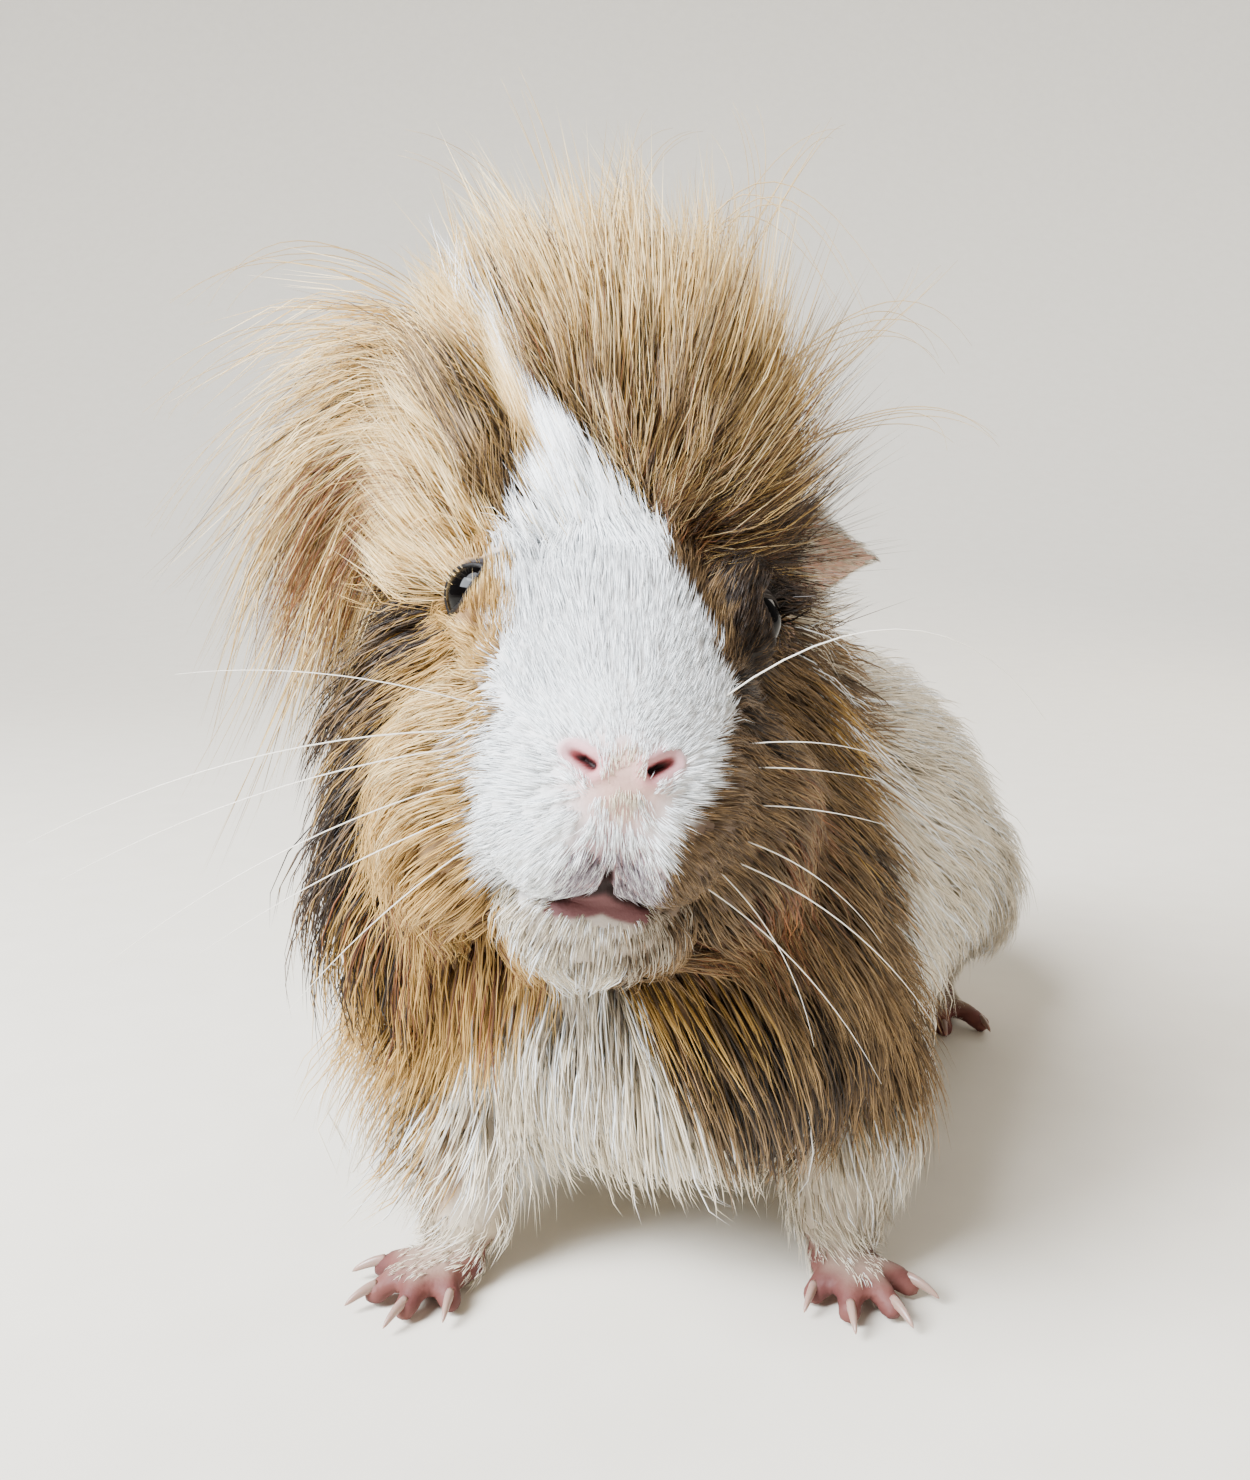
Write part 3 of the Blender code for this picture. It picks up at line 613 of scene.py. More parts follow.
# how the coat lies: on both sides or one, place, direction, length, the height it rises to, and how
# closely it keeps to the skin (0 stands free, 1 lies along it); millimetres
headLie = (
    (0, (0, 0, 4), (0, .5, 1), 3, .6, 1), (1, (6, 3, 6), (.7, .6, .7), 3.8, .8, 1),
    (1, (9, 5, -2), (1, .5, 0), 5, 1.7, 1), (1, (6, 1, -8), (.8, .4, -.6), 4, 1.5, 1),
    (0, (0, 0, -3), (0, .1, -1), 2.2, .7, 1), (1, (2.2, 0, 0), (.2, .1, .8), 1.9, .6, 1),
    (0, (0, 1, -7), (.1, .1, -1), 3.1, 1.1, 1), (1, (3, 2, -13), (.4, .1, -1), 3.4, 1.1, .9),
    (1, (8, 6, -15), (.7, .3, -.9), 5, 1.6, .8), (1, (13, 10, -12), (.9, .5, -.6), 8, 2.6, .8),
    (0, (0, 9, -24), (0, .3, -1), 9, 3, .8), (1, (9, 12, -23), (.5, .15, -1), 11, 4.2, .75),
    (0, (0, 14, -30), (0, .1, -1), 13, 5, .7), (0, (0, 6, -19.5), (0, .3, -1), 3, .9, 1),
    (1, (5, 8, -19.5), (.3, .3, -1), 3.5, 1.1, 1), (0, (0, 12, 15), (0, .6, 1), 6, 1.1, 1),
    (1, (9, 13, 11), (.45, .6, .8), 6, 1.2, 1), (0, (0, 26, 25), (0, .5, .9), 9, 1.8, 1),
    (1, (12, 27, 20), (.35, .5, .8), 8, 1.6, 1), (0, (0, 36, 31), (-.35, .05, 1), 14, 6, .4),
    (0, (-12, 37, 30), (-.15, .05, 1), 14, 6, .4), (0, (-2, 44, 34), (-.4, .1, 1), 17, 9, .25),
    (0, (-14, 44, 31), (-.2, .1, 1), 16, 8, .3), (1, (15, 15, -2), (1, .3, -.25), 10, 4, .75),
    (1, (18, 22, -4), (1, .3, -.4), 14, 6, .55), (1, (17, 22, -15), (.8, .2, -.85), 17, 7.5, .6),
    (1, (20, 27, 4), (.9, .4, -.35), 12, 5, .75), (1, (28, 40, -6), (.7, .3, -.7), 20, 8, .6),
    (0, (17, 33, 27), (.5, .4, .9), 9, 3.2, .8), (0, (24, 48, 24), (1, 0, .3), 17, 9, .4),
    (0, (27, 62, 18), (1, .2, -.1), 22, 10, .4), (0, (11, 41, 33), (.1, .4, 1), 11, 4, .7),
    (0, (-21, 32, 27), (-.3, .5, .8), 6.5, 2.4, .9), (1, (19, 30, 17), (0, .35, 1), 4.2, 1.4, 1),
    (1, (20, 29, 9), (.7, .5, .3), 4.5, 1.8, 1), (0, (-24, 52, 27), (-.9, .1, .3), 13, 6, .6),
    (0, (-27, 62, 18), (-.9, .3, -.4), 20, 9, .6), (1, (22, 38, 30), (.6, .4, .7), 8, 3.4, .8),
    (1, (24, 46, 10), (.8, .4, -.45), 16, 7, .7), (1, (27, 54, 0), (.7, .4, -.7), 22, 9, .7),
    (1, (24, 38, -20), (.6, .15, -1), 22, 10, .7), (0, (-29, 56, -14), (-.3, .1, -1), 28, 20, .85),
    (0, (-33, 60, -32), (-.15, .05, -1), 28, 19, .88), (0, (-30, 58, 2), (-.6, .2, -.8), 26, 15, .7),
    (0, (-33, 62, -50), (-.15, -.05, -1), 27, 25, .85), (0, (30, 56, 2), (.6, .2, -.8), 24, 14, .75),
    (1, (29, 56, -12), (.5, .4, -.9), 24, 9, .75), (0, (0, 24, -38), (0, -.1, -1), 14, 6, .7),
    (0, (-12, 26, -38), (-.25, -.25, -1), 20, 8, .6), (0, (12, 26, -36), (.7, -.25, -.8), 22, 9, .6),
    (1, (27, 72, 8), (.5, .8, -.5), 22, 9, .8), (1, (20, 86, 16), (.2, 1, -.2), 24, 10, .9),
    (0, (0, 70, 36), (0, .8, .5), 16, 9, .8), (1, (31, 58, -30), (.25, .1, -1), 26, 14, .85),
    (0, (-18, 34, -42), (-.05, -.2, -1), 24, 12, .75),
    (0, (18, 34, -42), (.55, -.15, -.9), 26, 12, .75), (0, (0, 30, -54), (0, -.25, -1), 20, 10, .7),
    (1, (32, 62, -50), (.15, .05, -1), 22, 13, .85), (1, (24, 90, -25), (.4, .8, -.6), 24, 13, .85),
    (1, (30, 76, -45), (.45, .55, -.8), 22, 13, .8),
)
bodyLie = (
    (0, (0, -84, 38), (0, -.1, -1), 20, 8, .75), (1, (24, -74, 38), (.3, 0, -1), 22, 9, .7),
    (0, (-33, -66, 40), (-.2, 0, -1), 26, 25, .85), (0, (-32, -70, 28), (-.15, 0, -1), 19, 17, .85),
    (0, (0, -62, 22), (0, .1, -1), 13, 5, .7), (0, (0, -20, 18), (0, .6, -.3), 9, 4.5, 1),
    (0, (0, 60, 18), (0, .6, -.3), 9, 4.5, 1), (0, (0, -40, 98), (0, 1, .1), 24, 9, 1),
    (0, (0, 0, 99), (0, 1, 0), 22, 8.5, 1), (0, (0, 50, 94), (0, 1, -.1), 23, 8.5, 1),
    (1, (24, 10, 88), (.35, 1, -.3), 22, 8, 1), (1, (26, 62, 82), (.4, 1, -.3), 22, 8, 1),
    (0, (0, 95, 76), (0, 1, -.55), 23, 8.5, 1), (0, (0, 117, 48), (0, .4, -1), 20, 8, .95),
    (1, (28, 108, 50), (.4, .6, -.8), 21, 8, .95), (1, (40, -45, 60), (.3, .6, -.8), 22, 9, .95),
    (1, (42, 0, 60), (.1, .8, -.6), 22, 8, 1), (1, (46, 50, 50), (.1, .75, -.65), 22, 8, 1),
    (1, (42, 90, 50), (.1, .7, -.7), 22, 8, .95), (1, (36, 0, 28), (.1, .5, -.85), 13, 6, .95),
    (1, (38, 60, 27), (.15, .5, -.85), 14, 7, .95), (1, (24, 112, 30), (.1, .3, -1), 15, 8, .9),
)
fleeceGap = 6  # smoothing between places in the table, mm


def lieTable():
    # both tables in the model's frame, with rows for each leg, foot and ear
    rows = []
    for table, toRoom, axes in ((headLie, inHead, headAxes), (bodyLie, inBody, np.eye(3))):
        for both, place, way, *sizes in table:
            for flip in (np.array((sign, 1, 1)) for sign in ((1, -1) if both else (1,))):
                where = toRoom(np.array(place) * flip) / mm
                rows.append((*where, *(unit(np.array(way, float)) * flip @ axes), *sizes))
    for name, foot in feet.items():
        heel = np.array((*foot["heel"], 0.0))
        ahead = unit((np.mean(toeTips(name), axis=0) - heel) * (1, 1, 0))
        knee = np.array(foot["knee"])
        side, full = np.sign(knee[0] - 6), 1.45 if name.startswith("fore") else 1.0  # fuller in front
        rows.append((*(knee + (0, 0, 8)), 0.25 * side, 0.05, -1, 14 * full, 5.5 * full, 0.8 / full))
        rows.append((*knee, 0.2 * side, 0.05, -1, 10 * full, 4.5 * full, 0.8 / full))
        rows.append((*(heel + (0, 0, 13)), *(ahead * 0.2 + (0.1 * side, 0, -1)), 9, 3.2 * full, 0.85 / full))
        rows.append((*(heel + ahead * 2 + (0, 0, 7)), *(ahead - (0, 0, 0.5)), 5, 1.6, 1))
        rows.append((*(heel + ahead * foot["palm"][0] + (0, 0, 5)), *ahead, 3, 0.7, 1))
        for tip in toeTips(name):
            rows.append((*(tip + (0, 0, 2)), *ahead, 0.9, 0.2, 1))
    for side in (1, -1):
        short = 2.5 if side > 0 else 4
        rows.append((*(inHead((33 * side, 56, 25)) / mm), *((side, 0, 0) @ headAxes), short, 0.7, 1))
    return np.array(rows)


lieRows = lieTable()


def lieAt(points):
    # inverse distance weights; gives direction, length, height and how closely it keeps to the skin
    far = ((points[:, None, :] / mm - lieRows[None, :, :3]) ** 2).sum(2)
    weight = (far + fleeceGap) ** -2.6
    mixed = (weight @ lieRows[:, 3:]) / weight.sum(1, keepdims=True)
    return unit(mixed[:, :3]), mixed[:, 3], mixed[:, 4], mixed[:, 5]


def lieInParts(points, part=20000):
    # the same for many points, a part at a time to spare memory
    found = [lieAt(points[i:i + part]) for i in range(0, len(points), part)]
    return [np.concatenate(column) for column in zip(*found)]


# the skin's triangles, for roots and for following its surface
skin.data.calc_loop_triangles()
triCorners = np.empty(len(skin.data.loop_triangles) * 3, np.int32)
skin.data.loop_triangles.foreach_get("vertices", triCorners)
triCorners = triCorners.reshape(-1, 3)
skinPoints, skinNormals = readPoints(skin.data), readNormals(skin.data)
triPoints, triNormals = skinPoints[triCorners], skinNormals[triCorners]
triMiddles, triWays = triPoints.mean(1), unit(triNormals.mean(1))
triEdges = triPoints[:, 1:] - triPoints[:, :1]
triAreas = np.linalg.norm(np.cross(triEdges[:, 0], triEdges[:, 1]), axis=1) / 2 / mm**2
skinTree = BVHTree.FromPolygons(skinPoints.tolist(), triCorners.tolist(), all_triangles=True)


def nearestSkin(points):
    # the nearest place on the skin and the way it faces there
    shape = points.shape
    found = [skinTree.find_nearest(p) for p in points.reshape(-1, 3).tolist()]
    places = np.array([f[0] for f in found]).reshape(shape)
    return places, triWays[[f[2] for f in found]].reshape(shape)


def scatterRoots(density, seed):
    # one root per unit of area times density, spread evenly along the running total
    rng = np.random.default_rng(seed)
    total = np.cumsum(triAreas * density)
    count = int(total[-1])
    pick = np.searchsorted(total, (np.arange(count) + rng.random(count)) / count * total[-1])
    a, b = rng.random((2, count))
    a, b = np.where(a + b > 1, 1 - a, a), np.where(a + b > 1, 1 - b, b)
    share = np.stack([1 - a - b, a, b], -1)[..., None]
    return (triPoints[pick] * share).sum(1), unit((triNormals[pick] * share).sum(1))


pathSteps = 7  # points along each path


def growPaths(roots, rng, gather=0):
    # each path keeps to the lie of the coat, rising from the skin to the coat's height; then paths
    # are gathered towards the nearest of a few, as wisps are
    length, height, hold = lieInParts(roots)[1:]
    length = length * rng.uniform(0.8, 1.12, len(roots))
    height = height * rng.uniform(0.6, 1.0, len(roots))
    step = (length / (pathSteps - 1) * mm)[:, None]
    here, path = roots, [roots]
    for k in range(1, pathSteps):
        t = k / (pathSteps - 1)
        up = nearestSkin(here)[1]
        way = lieInParts(here)[0]
        along = unit(way - (way * up).sum(1, keepdims=True) * up * 0.9)
        lifted = unit(along + up * (0.75 * (1 - t) * np.minimum(height / 4, 1))[:, None])
        free = here + lifted * step
        onSkin, upNext = nearestSkin(here + along * step)
        lying = onSkin + upNext * (height * mm * (1 - (1 - t) ** 1.9))[:, None]
        here = free + (lying - free) * hold[:, None]
        path.append(here)
    path = np.stack(path, 1)
    path[:, 1:-1] = path[:, 1:-1] * 0.5 + (path[:, :-2] + path[:, 2:]) * 0.25
    if gather:
        few = rng.choice(len(roots), max(len(roots) // 14, 1), replace=False)
        near = ((roots[:, None] - roots[None, few]) ** 2).sum(2).argmin(1)
        t = np.linspace(0, 1, pathSteps)[None, :, None] ** 1.5
        path = path + (path[few][near] - path) * t * gather * rng.uniform(0.5, 1, (len(roots), 1, 1))
    return path, length


def children(paths, normals, length, spread, count, clump, frizz, rng, least=0.62, press=0.8):
    # tufts round each path: same course, drawn together towards the tip, each a little astray
    n = len(paths)
    across = unit(np.cross(normals, paths[:, 2] - paths[:, 0]))
    onward = np.cross(across, normals)
    angle = rng.uniform(0, 2 * math.pi, (n, count))
    reach = np.sqrt(rng.random((n, count))) * spread[:, None] * mm
    roots = paths[:, None, 0] + (np.cos(angle) * reach)[..., None] * across[:, None]
    roots = roots + (np.sin(angle) * reach)[..., None] * onward[:, None]
    roots, ups = nearestSkin(roots)
    t = np.linspace(0, 1, pathSteps)[None, None, :, None]
    scale = rng.uniform(least, 1.08, (n, count, 1, 1))
    course = (paths - paths[:, :1])[:, None] * scale
    low = (course * ups[:, :, None]).sum(-1, keepdims=True) * ups[:, :, None]
    course = course - low * (1 - rng.uniform(0.45, 1.05, (n, count, 1, 1))) * press
    made = roots[:, :, None] + course
    pull = np.asarray(clump)[..., None, None, None] * t**1.4
    target = paths[:, None, :1] + course
    made = made + (target - made) * pull
    astray = rng.normal(size=(n, count, 1, 3)) * t**1.5
    wave = rng.normal(size=(n, count, 1, 3)) * np.sin(t * 5 + rng.uniform(0, 6, (n, count, 1, 1)))
    astray = astray + wave * t * 0.5
    made = made + astray * (length * frizz * mm)[:, None, None, None]
    made[:, :, 0] -= ups * 0.35 * mm
    made[..., 2] = np.maximum(made[..., 2], 0.15 * mm)
    return made.reshape(n * count, pathSteps, 3), ups.reshape(-1, 3)


coatPaint, tree = newMaterial("guinea pig hair")  # fine keratin: soft, a little satin along each lock
tone = addNode(tree, "VertexColor", layer_name="coatTint")
hairShader = addNode(tree, "BsdfPrincipled", {"Base Color": tone.outputs["Color"], "Roughness": 0.5,
                                              "Specular IOR Level": 0.4})
addNode(tree, "OutputMaterial", {"Surface": hairShader.outputs["BSDF"]})


def unwrapHead(points):
    # azimuth and angle from the nose's direction, as seen from the middle of the head
    way = unit(toHead(points) - (0, 46, -4))
    turn = np.arccos(np.clip(-way[:, 1], -1, 1)) / math.pi * 0.49
    across = np.maximum(np.hypot(way[:, 0], way[:, 2]), 1e-9)
    return 0.5 + np.stack([way[:, 0] / across * turn, way[:, 2] / across * turn], -1)


def unwrapNeck(points):
    # round an upright axis through the neck, and height
    h = points / mm - inHead((0, 60, 0)) / mm
    turn = np.arctan2(h @ headAxes[0], -(h @ headAxes[1])) / (2.05 * math.pi)
    return np.stack([0.5 + turn, points[:, 2] / mm / 150], -1)


def unwrapBody(points):
    # round the body's long axis, and along it
    b = toBody(points) - (0, 0, 58)
    turn = np.arctan2(b[:, 0], b[:, 2]) / (2.05 * math.pi)
    return np.stack([0.5 + turn, (b[:, 1] + 135) / 270], -1)


patchSize = 0.003  # each tuft's own patch on the unwrap


def strandMesh(name, paths, ups, widths, tints, unwrap, rings, flat=0.6):
    # each tuft is a closed spike: three-sided rings along its path, half a width from it, and a tip;
    # widths are (n, rings) and tints (n, rings + 1, 3)
    n = len(paths)
    at = np.linspace(0, pathSteps - 1, rings + 1)
    low = np.minimum(at.astype(int), pathSteps - 2)
    share = (at - low)[None, :, None]
    line = paths[:, low] * (1 - share) + paths[:, low + 1] * share
    along = unit(np.gradient(line, axis=1))
    across = unit(np.cross(along, ups[:, None]))
    above = np.cross(across, along)
    corner = np.radians((90, 210, 330))[None, None, :, None]
    size = widths[:, :, None, None] * mm / 2
    spokes = np.cos(corner) * across[:, :-1, None] + flat * np.sin(corner) * above[:, :-1, None]
    rim = line[:, :-1, None] + size * spokes
    points = np.concatenate([rim.reshape(n, rings * 3, 3), line[:, -1:]], 1)
    each = rings * 3 + 1
    walls = [(r * 3 + j, r * 3 + 3 + j, r * 3 + 3 + (j + 1) % 3, r * 3 + (j + 1) % 3)
             for r in range(rings - 1) for j in range(3)]
    ends = [((rings - 1) * 3 + j, each - 1, (rings - 1) * 3 + (j + 1) % 3) for j in range(3)] + [(0, 1, 2)]
    start = (np.arange(n) * each)[:, None, None]
    quads = (np.array(walls)[None] + start).reshape(-1, 4)
    tris = (np.array(ends)[None] + start).reshape(-1, 3)
    made = meshObject(name, points.reshape(-1, 3), quads, tris)
    tint = np.ones((n, each, 4))
    tint[:, :-1, :3] = np.repeat(tints[:, :-1], 3, axis=1)
    tint[:, -1, :3] = tints[:, -1]
    paint = made.data.attributes.new("coatTint", "FLOAT_COLOR", "POINT")
    paint.data.foreach_set("color", tint.astype(np.float32).ravel())
    place = unwrap(line[:, 0])[:, None, None]
    spots = [((0, 0.5, 1)[v % 3], v // 3 / rings) if v < each - 1 else (0.5, 1) for v in range(each)]
    wallPatch = np.array([[spots[v] for v in wall] for wall in walls])
    endPatch = np.array([[spots[v] for v in end] for end in ends[:3]] + [[(0, 0), (0.5, 0.2), (1, 0)]])
    uv = np.concatenate([(place + (patch[None] - 0.5) * patchSize).reshape(-1)
                         for patch in (wallPatch, endPatch)])
    made.data.uv_layers.new(name="OFBake").data.foreach_set("uv", uv.astype(np.float32))
    made.data.materials.append(coatPaint)
    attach(made, "root")
    print(name, n, "tufts", quads.shape[0] * 2 + tris.shape[0], "triangles")
    return made


hairTone = {"spread": 0.16, "darkSpread": 2.2, "paleSpread": 0.8, "ticked": 0.35, "tickTip": 0.45,
            "tickRest": 0.8}
taper = {2: (1, 0.8), 3: (1, 1, 0.6), 4: (0.9, 1, 0.85, 0.5)}  # a tuft's breadth at each ring


def isColor(pick, *names):
    # whether each picked colour is one of the named ones
    return np.isin(pick, [colorNames.index(name) for name in names])


def hairTints(shares, rings, rng):
    # each hair takes one of the colours by chance, in their shares at its root; some brown ones are
    # ticked with a dark tip; then each has its own lightness, e to the power of a random number
    shares = np.cumsum(shares, axis=1)
    pick = (rng.random((len(shares), 1)) > shares / shares[:, -1:]).sum(1)
    ramp = colorTable[pick]
    t = np.linspace(0, 1, rings + 1)[None, :, None]
    low, high = np.clip(1 - 2 * t, 0, 1), np.clip(2 * t - 1, 0, 1)
    # from root to tip as in the table, with its painted shade at the root and painted light at the tip
    tint = ramp[:, :1] * low + ramp[:, 1:2] * (1 - low - high) + ramp[:, 2:] * high
    ticked = isColor(pick, "agouti", "dark") & (rng.random(len(shares)) < hairTone["ticked"])
    ticking = np.where(t > 0.75, hairTone["tickTip"], hairTone["tickRest"])
    tint = np.where(ticked[:, None, None], tint * ticking, tint)
    spread = np.where(isColor(pick, "rust", "agouti", "dark"), hairTone["darkSpread"], hairTone["paleSpread"])
    spread = hairTone["spread"] * spread[:, None, None]
    return np.clip(tint * np.exp(rng.normal(0, 1, (len(shares), 1, 1)) * spread), 0, 1)


# a tuft's breadth grows with its length; short hair stands closer, so that the skin stays covered
tufts = {"thin": 0.10, "perLength": 0.013, "cover": 4.6, "most": 8.0}


def tuftBreadth(length):
    # the thinnest breadth, and more for each millimetre of length
    return tufts["thin"] + tufts["perLength"] * length


def tuftsPerArea(length):
    # as many for each square millimetre as cover it, up to a limit
    return np.minimum(tufts["cover"] / (tuftBreadth(length) * length), tufts["most"])


# the coat, region by region
headSpots, bodySpots = toHead(triMiddles), toBody(triMiddles)
lieLength = lieInParts(triMiddles)[1]
thickness = tuftsPerArea(lieLength) * (1 + 0.3 * smoothStep(6.5, 3, awayFrom(headSpots, (0, 3, -12))))
isHead = (headSpots[:, 1] < 100) & (triMiddles[:, 2] > 0.038) & (bodySpots[:, 1] < -38)
isLow = triMiddles[:, 2] < 0.022
isEar = (np.abs(headSpots[:, 0]) > 27.5) & (headSpots[:, 2] > 14) & (headSpots[:, 1] < 68)
restSpots = restHead[triCorners].mean(1)
bare = (nostrilDistance(restSpots) < 1.0) | (mouthDistance(restSpots) < 0.9) | (cleftDistance(restSpots) < 0.7)
lipSpots = (np.abs(restSpots[:, 0] + 0.5) < 4.6) & (restSpots[:, 1] < 13)
bare |= lipSpots & (restSpots[:, 2] > -18.9) & (restSpots[:, 2] < -16.2)
for side, edge, corner in ((1, 1.1, 1.2), (-1, 1.22, 1.45)):
    aroundEye = (openingOf(headSpots, side)[0] < edge) | (openingOf(headSpots, side, corner)[0] < 1)
    bare |= aroundEye & nearEye(headSpots, side, 9)
underCrest = (headSpots[:, 1] > 45) & (headSpots[:, 1] < 88) & (headSpots[:, 2] > 28)
bareFoot = (triMiddles[:, 2] < 0.0015)
onCheeks = isHead & (lieLength >= 9.5) & (lieLength < 18) & ~isEar & ~bare & ~underCrest
coatRegions = {  # where it grows; children per parent, rings; clump, gather, frizz; width and number factors
    "coatFace": {
        "where": isHead & (lieLength < 9.5) & ~isEar & ~bare, "each": 10, "rings": 2,
        "clump": 0.15, "gather": 0, "frizz": 0.022, "wide": 0.95, "more": 1.25, "unwrap": unwrapHead},
    "coatCheeks": {
        "where": onCheeks, "each": 10, "rings": 3,
        "clump": 0.35, "gather": 0.1, "frizz": 0.03, "wide": 1.1, "more": 1.6, "unwrap": unwrapHead},
    "coatRuff": {
        "where": isHead & (lieLength >= 18) & ~isEar & ~underCrest, "each": 10, "rings": 4,
        "clump": 0.15, "gather": 0.15, "frizz": 0.04, "wide": 1.0, "more": 1.75, "unwrap": unwrapNeck},
    "coatEars": {
        "where": isEar, "each": 6, "rings": 2,
        "clump": 0.2, "gather": 0, "frizz": 0.05, "wide": 0.8, "more": 0.7, "unwrap": unwrapHead},
    "coatBody": {
        "where": ~isHead & ~isLow & ~isEar, "each": 10, "rings": 3,
        "clump": 0.05, "gather": 0.08, "frizz": 0.05, "wide": 1.25, "more": 0.9, "unwrap": unwrapBody},
    "coatLegs": {
        "where": ~isHead & isLow & ~bareFoot & (lieLength > 2.4), "each": 6, "rings": 2,
        "clump": 0.1, "gather": 0, "frizz": 0.05, "wide": 1.4, "more": 0.32, "unwrap": unwrapBody},
}
mostTriangles = 190000  # in one coat piece


def coversFace(paths):
    # whether the outer part of a path passes over a nostril, the cleft, the lips or an eye
    h = toHead(paths[:, 2:].reshape(-1, 3))
    lips = lineDistance(h, (0, 4.4, -16), (0, 6.5, -20)) < 0.9
    crosses = (nostrilDistance(h) < 1.1) | (cleftDistance(h) < 0.7) | lips
    for side in (1, -1):
        crosses |= (openingOf(h, side)[0] < 1.12) & nearEye(h, side, 11)
    return crosses.reshape(len(paths), -1).any(1)


def clearFace(paths, rng):
    # tufts that cross an eye, a nostril or the cleft are cut short, all but a few
    spared = rng.random(len(paths)) < 0.015
    for share in (0.65, 0.5, 0.5):
        crosses = coversFace(paths) & ~spared
        paths[crosses] = paths[crosses, :1] + (paths[crosses] - paths[crosses, :1]) * share
    return ~coversFace(paths) | spared


def dressed(name, paths, ups, length, rings, wide, unwrap, rng, shares=None):
    # colours and widths, then as many pieces as keep each under the limit of triangles
    if shares is None:
        seen = clearFace(paths, rng)
        paths, ups, length = paths[seen], ups[seen], length[seen]
    tints = hairTints(markings(paths[:, 4]) if shares is None else shares, rings, rng)
    widths = tuftBreadth(length)[:, None] * wide * np.array(taper[rings])[None]
    widths = widths * rng.uniform(0.75, 1.2, (len(paths), 1))
    most = mostTriangles // (6 * rings - 2)
    order = np.argsort(toHead(paths[:, 0])[:, 0], kind="stable")
    parts = np.array_split(order, max(1, -(-len(paths) // most)))
    for i, part in enumerate(parts):
        title = name if len(parts) == 1 else f"{name}{i + 1}"
        strandMesh(title, paths[part], ups[part], widths[part], tints[part], unwrap, rings)


for seed, (name, spec) in enumerate(coatRegions.items()):
    rng = np.random.default_rng(seed + 11)
    density = thickness * spec["where"] * spec["more"] / spec["each"] / spec["wide"]
    roots, normals = scatterRoots(density, seed + 31)
    paths, length = growPaths(roots, rng, spec["gather"])
    spread = 0.75 / np.sqrt(tuftsPerArea(lieInParts(roots)[1]) * spec["more"] / spec["each"] / spec["wide"])
    strands, ups = children(paths, normals, length, spread, spec["each"], spec["clump"], spec["frizz"], rng)
    length = np.repeat(length, spec["each"])
    dressed(name, strands, ups, length, spec["rings"], spec["wide"], spec["unwrap"], rng)

# the crest: tufts whose tips overlap on a rounded shell over the crown, in two fans that part at the blaze
crest = {
    "middle": (-5, 62, 30), "radii": (34, 28, 44.5), "deeper": 1.35, "round": 2.6, "lowest": -0.2,
    "count": 1700, "wedgeCount": 260, "each": 9, "wisps": 0.38, "top": 0.184, "topRoom": 0.006,
    "leftFan": (10.3, 36, 20), "rightFan": (-14, 36, 4), "lockFan": (-4, 40, 42),
    "partUp": (20, 30, 40, 47, 57, 69, 90), "partSide": (-2, -6, -12, -16.3, -21.6, -29.6, -42),
}


def pathLengths(paths):
    # the sum of each path's steps, in millimetres
    return np.linalg.norm(np.diff(paths, axis=1), axis=2).sum(1) / mm


def heldBack(values, limit, room):
    # past the limit each value goes on ever less, and never further than the room
    over = np.maximum(values - limit, 0)
    return values - (over - room * (1 - np.exp(-over / room)))


def tuftShares(count, **parts):
    # a table of colour shares from one array for each named colour
    shares = np.zeros((count, len(colorNames)))
    for name, part in parts.items():
        shares[:, colorNames.index(name)] = part
    return shares


def onShell(points, sink=0):
    # moved along the line from the shell's middle on to a rounded box, where the sum of each distance
    # in radii to the power of "round" is 1, less a share of its size; its rear half is deeper
    radii = np.tile(np.array(crest["radii"], float), (len(points), 1))
    radii[:, 1] *= np.where(points[:, 1] > crest["middle"][1], crest["deeper"], 1)
    way = (points - crest["middle"]) / radii
    size = (np.abs(way) ** crest["round"]).sum(1, keepdims=True) ** (1 / crest["round"])
    return crest["middle"] + way / size * radii * (1 - sink)


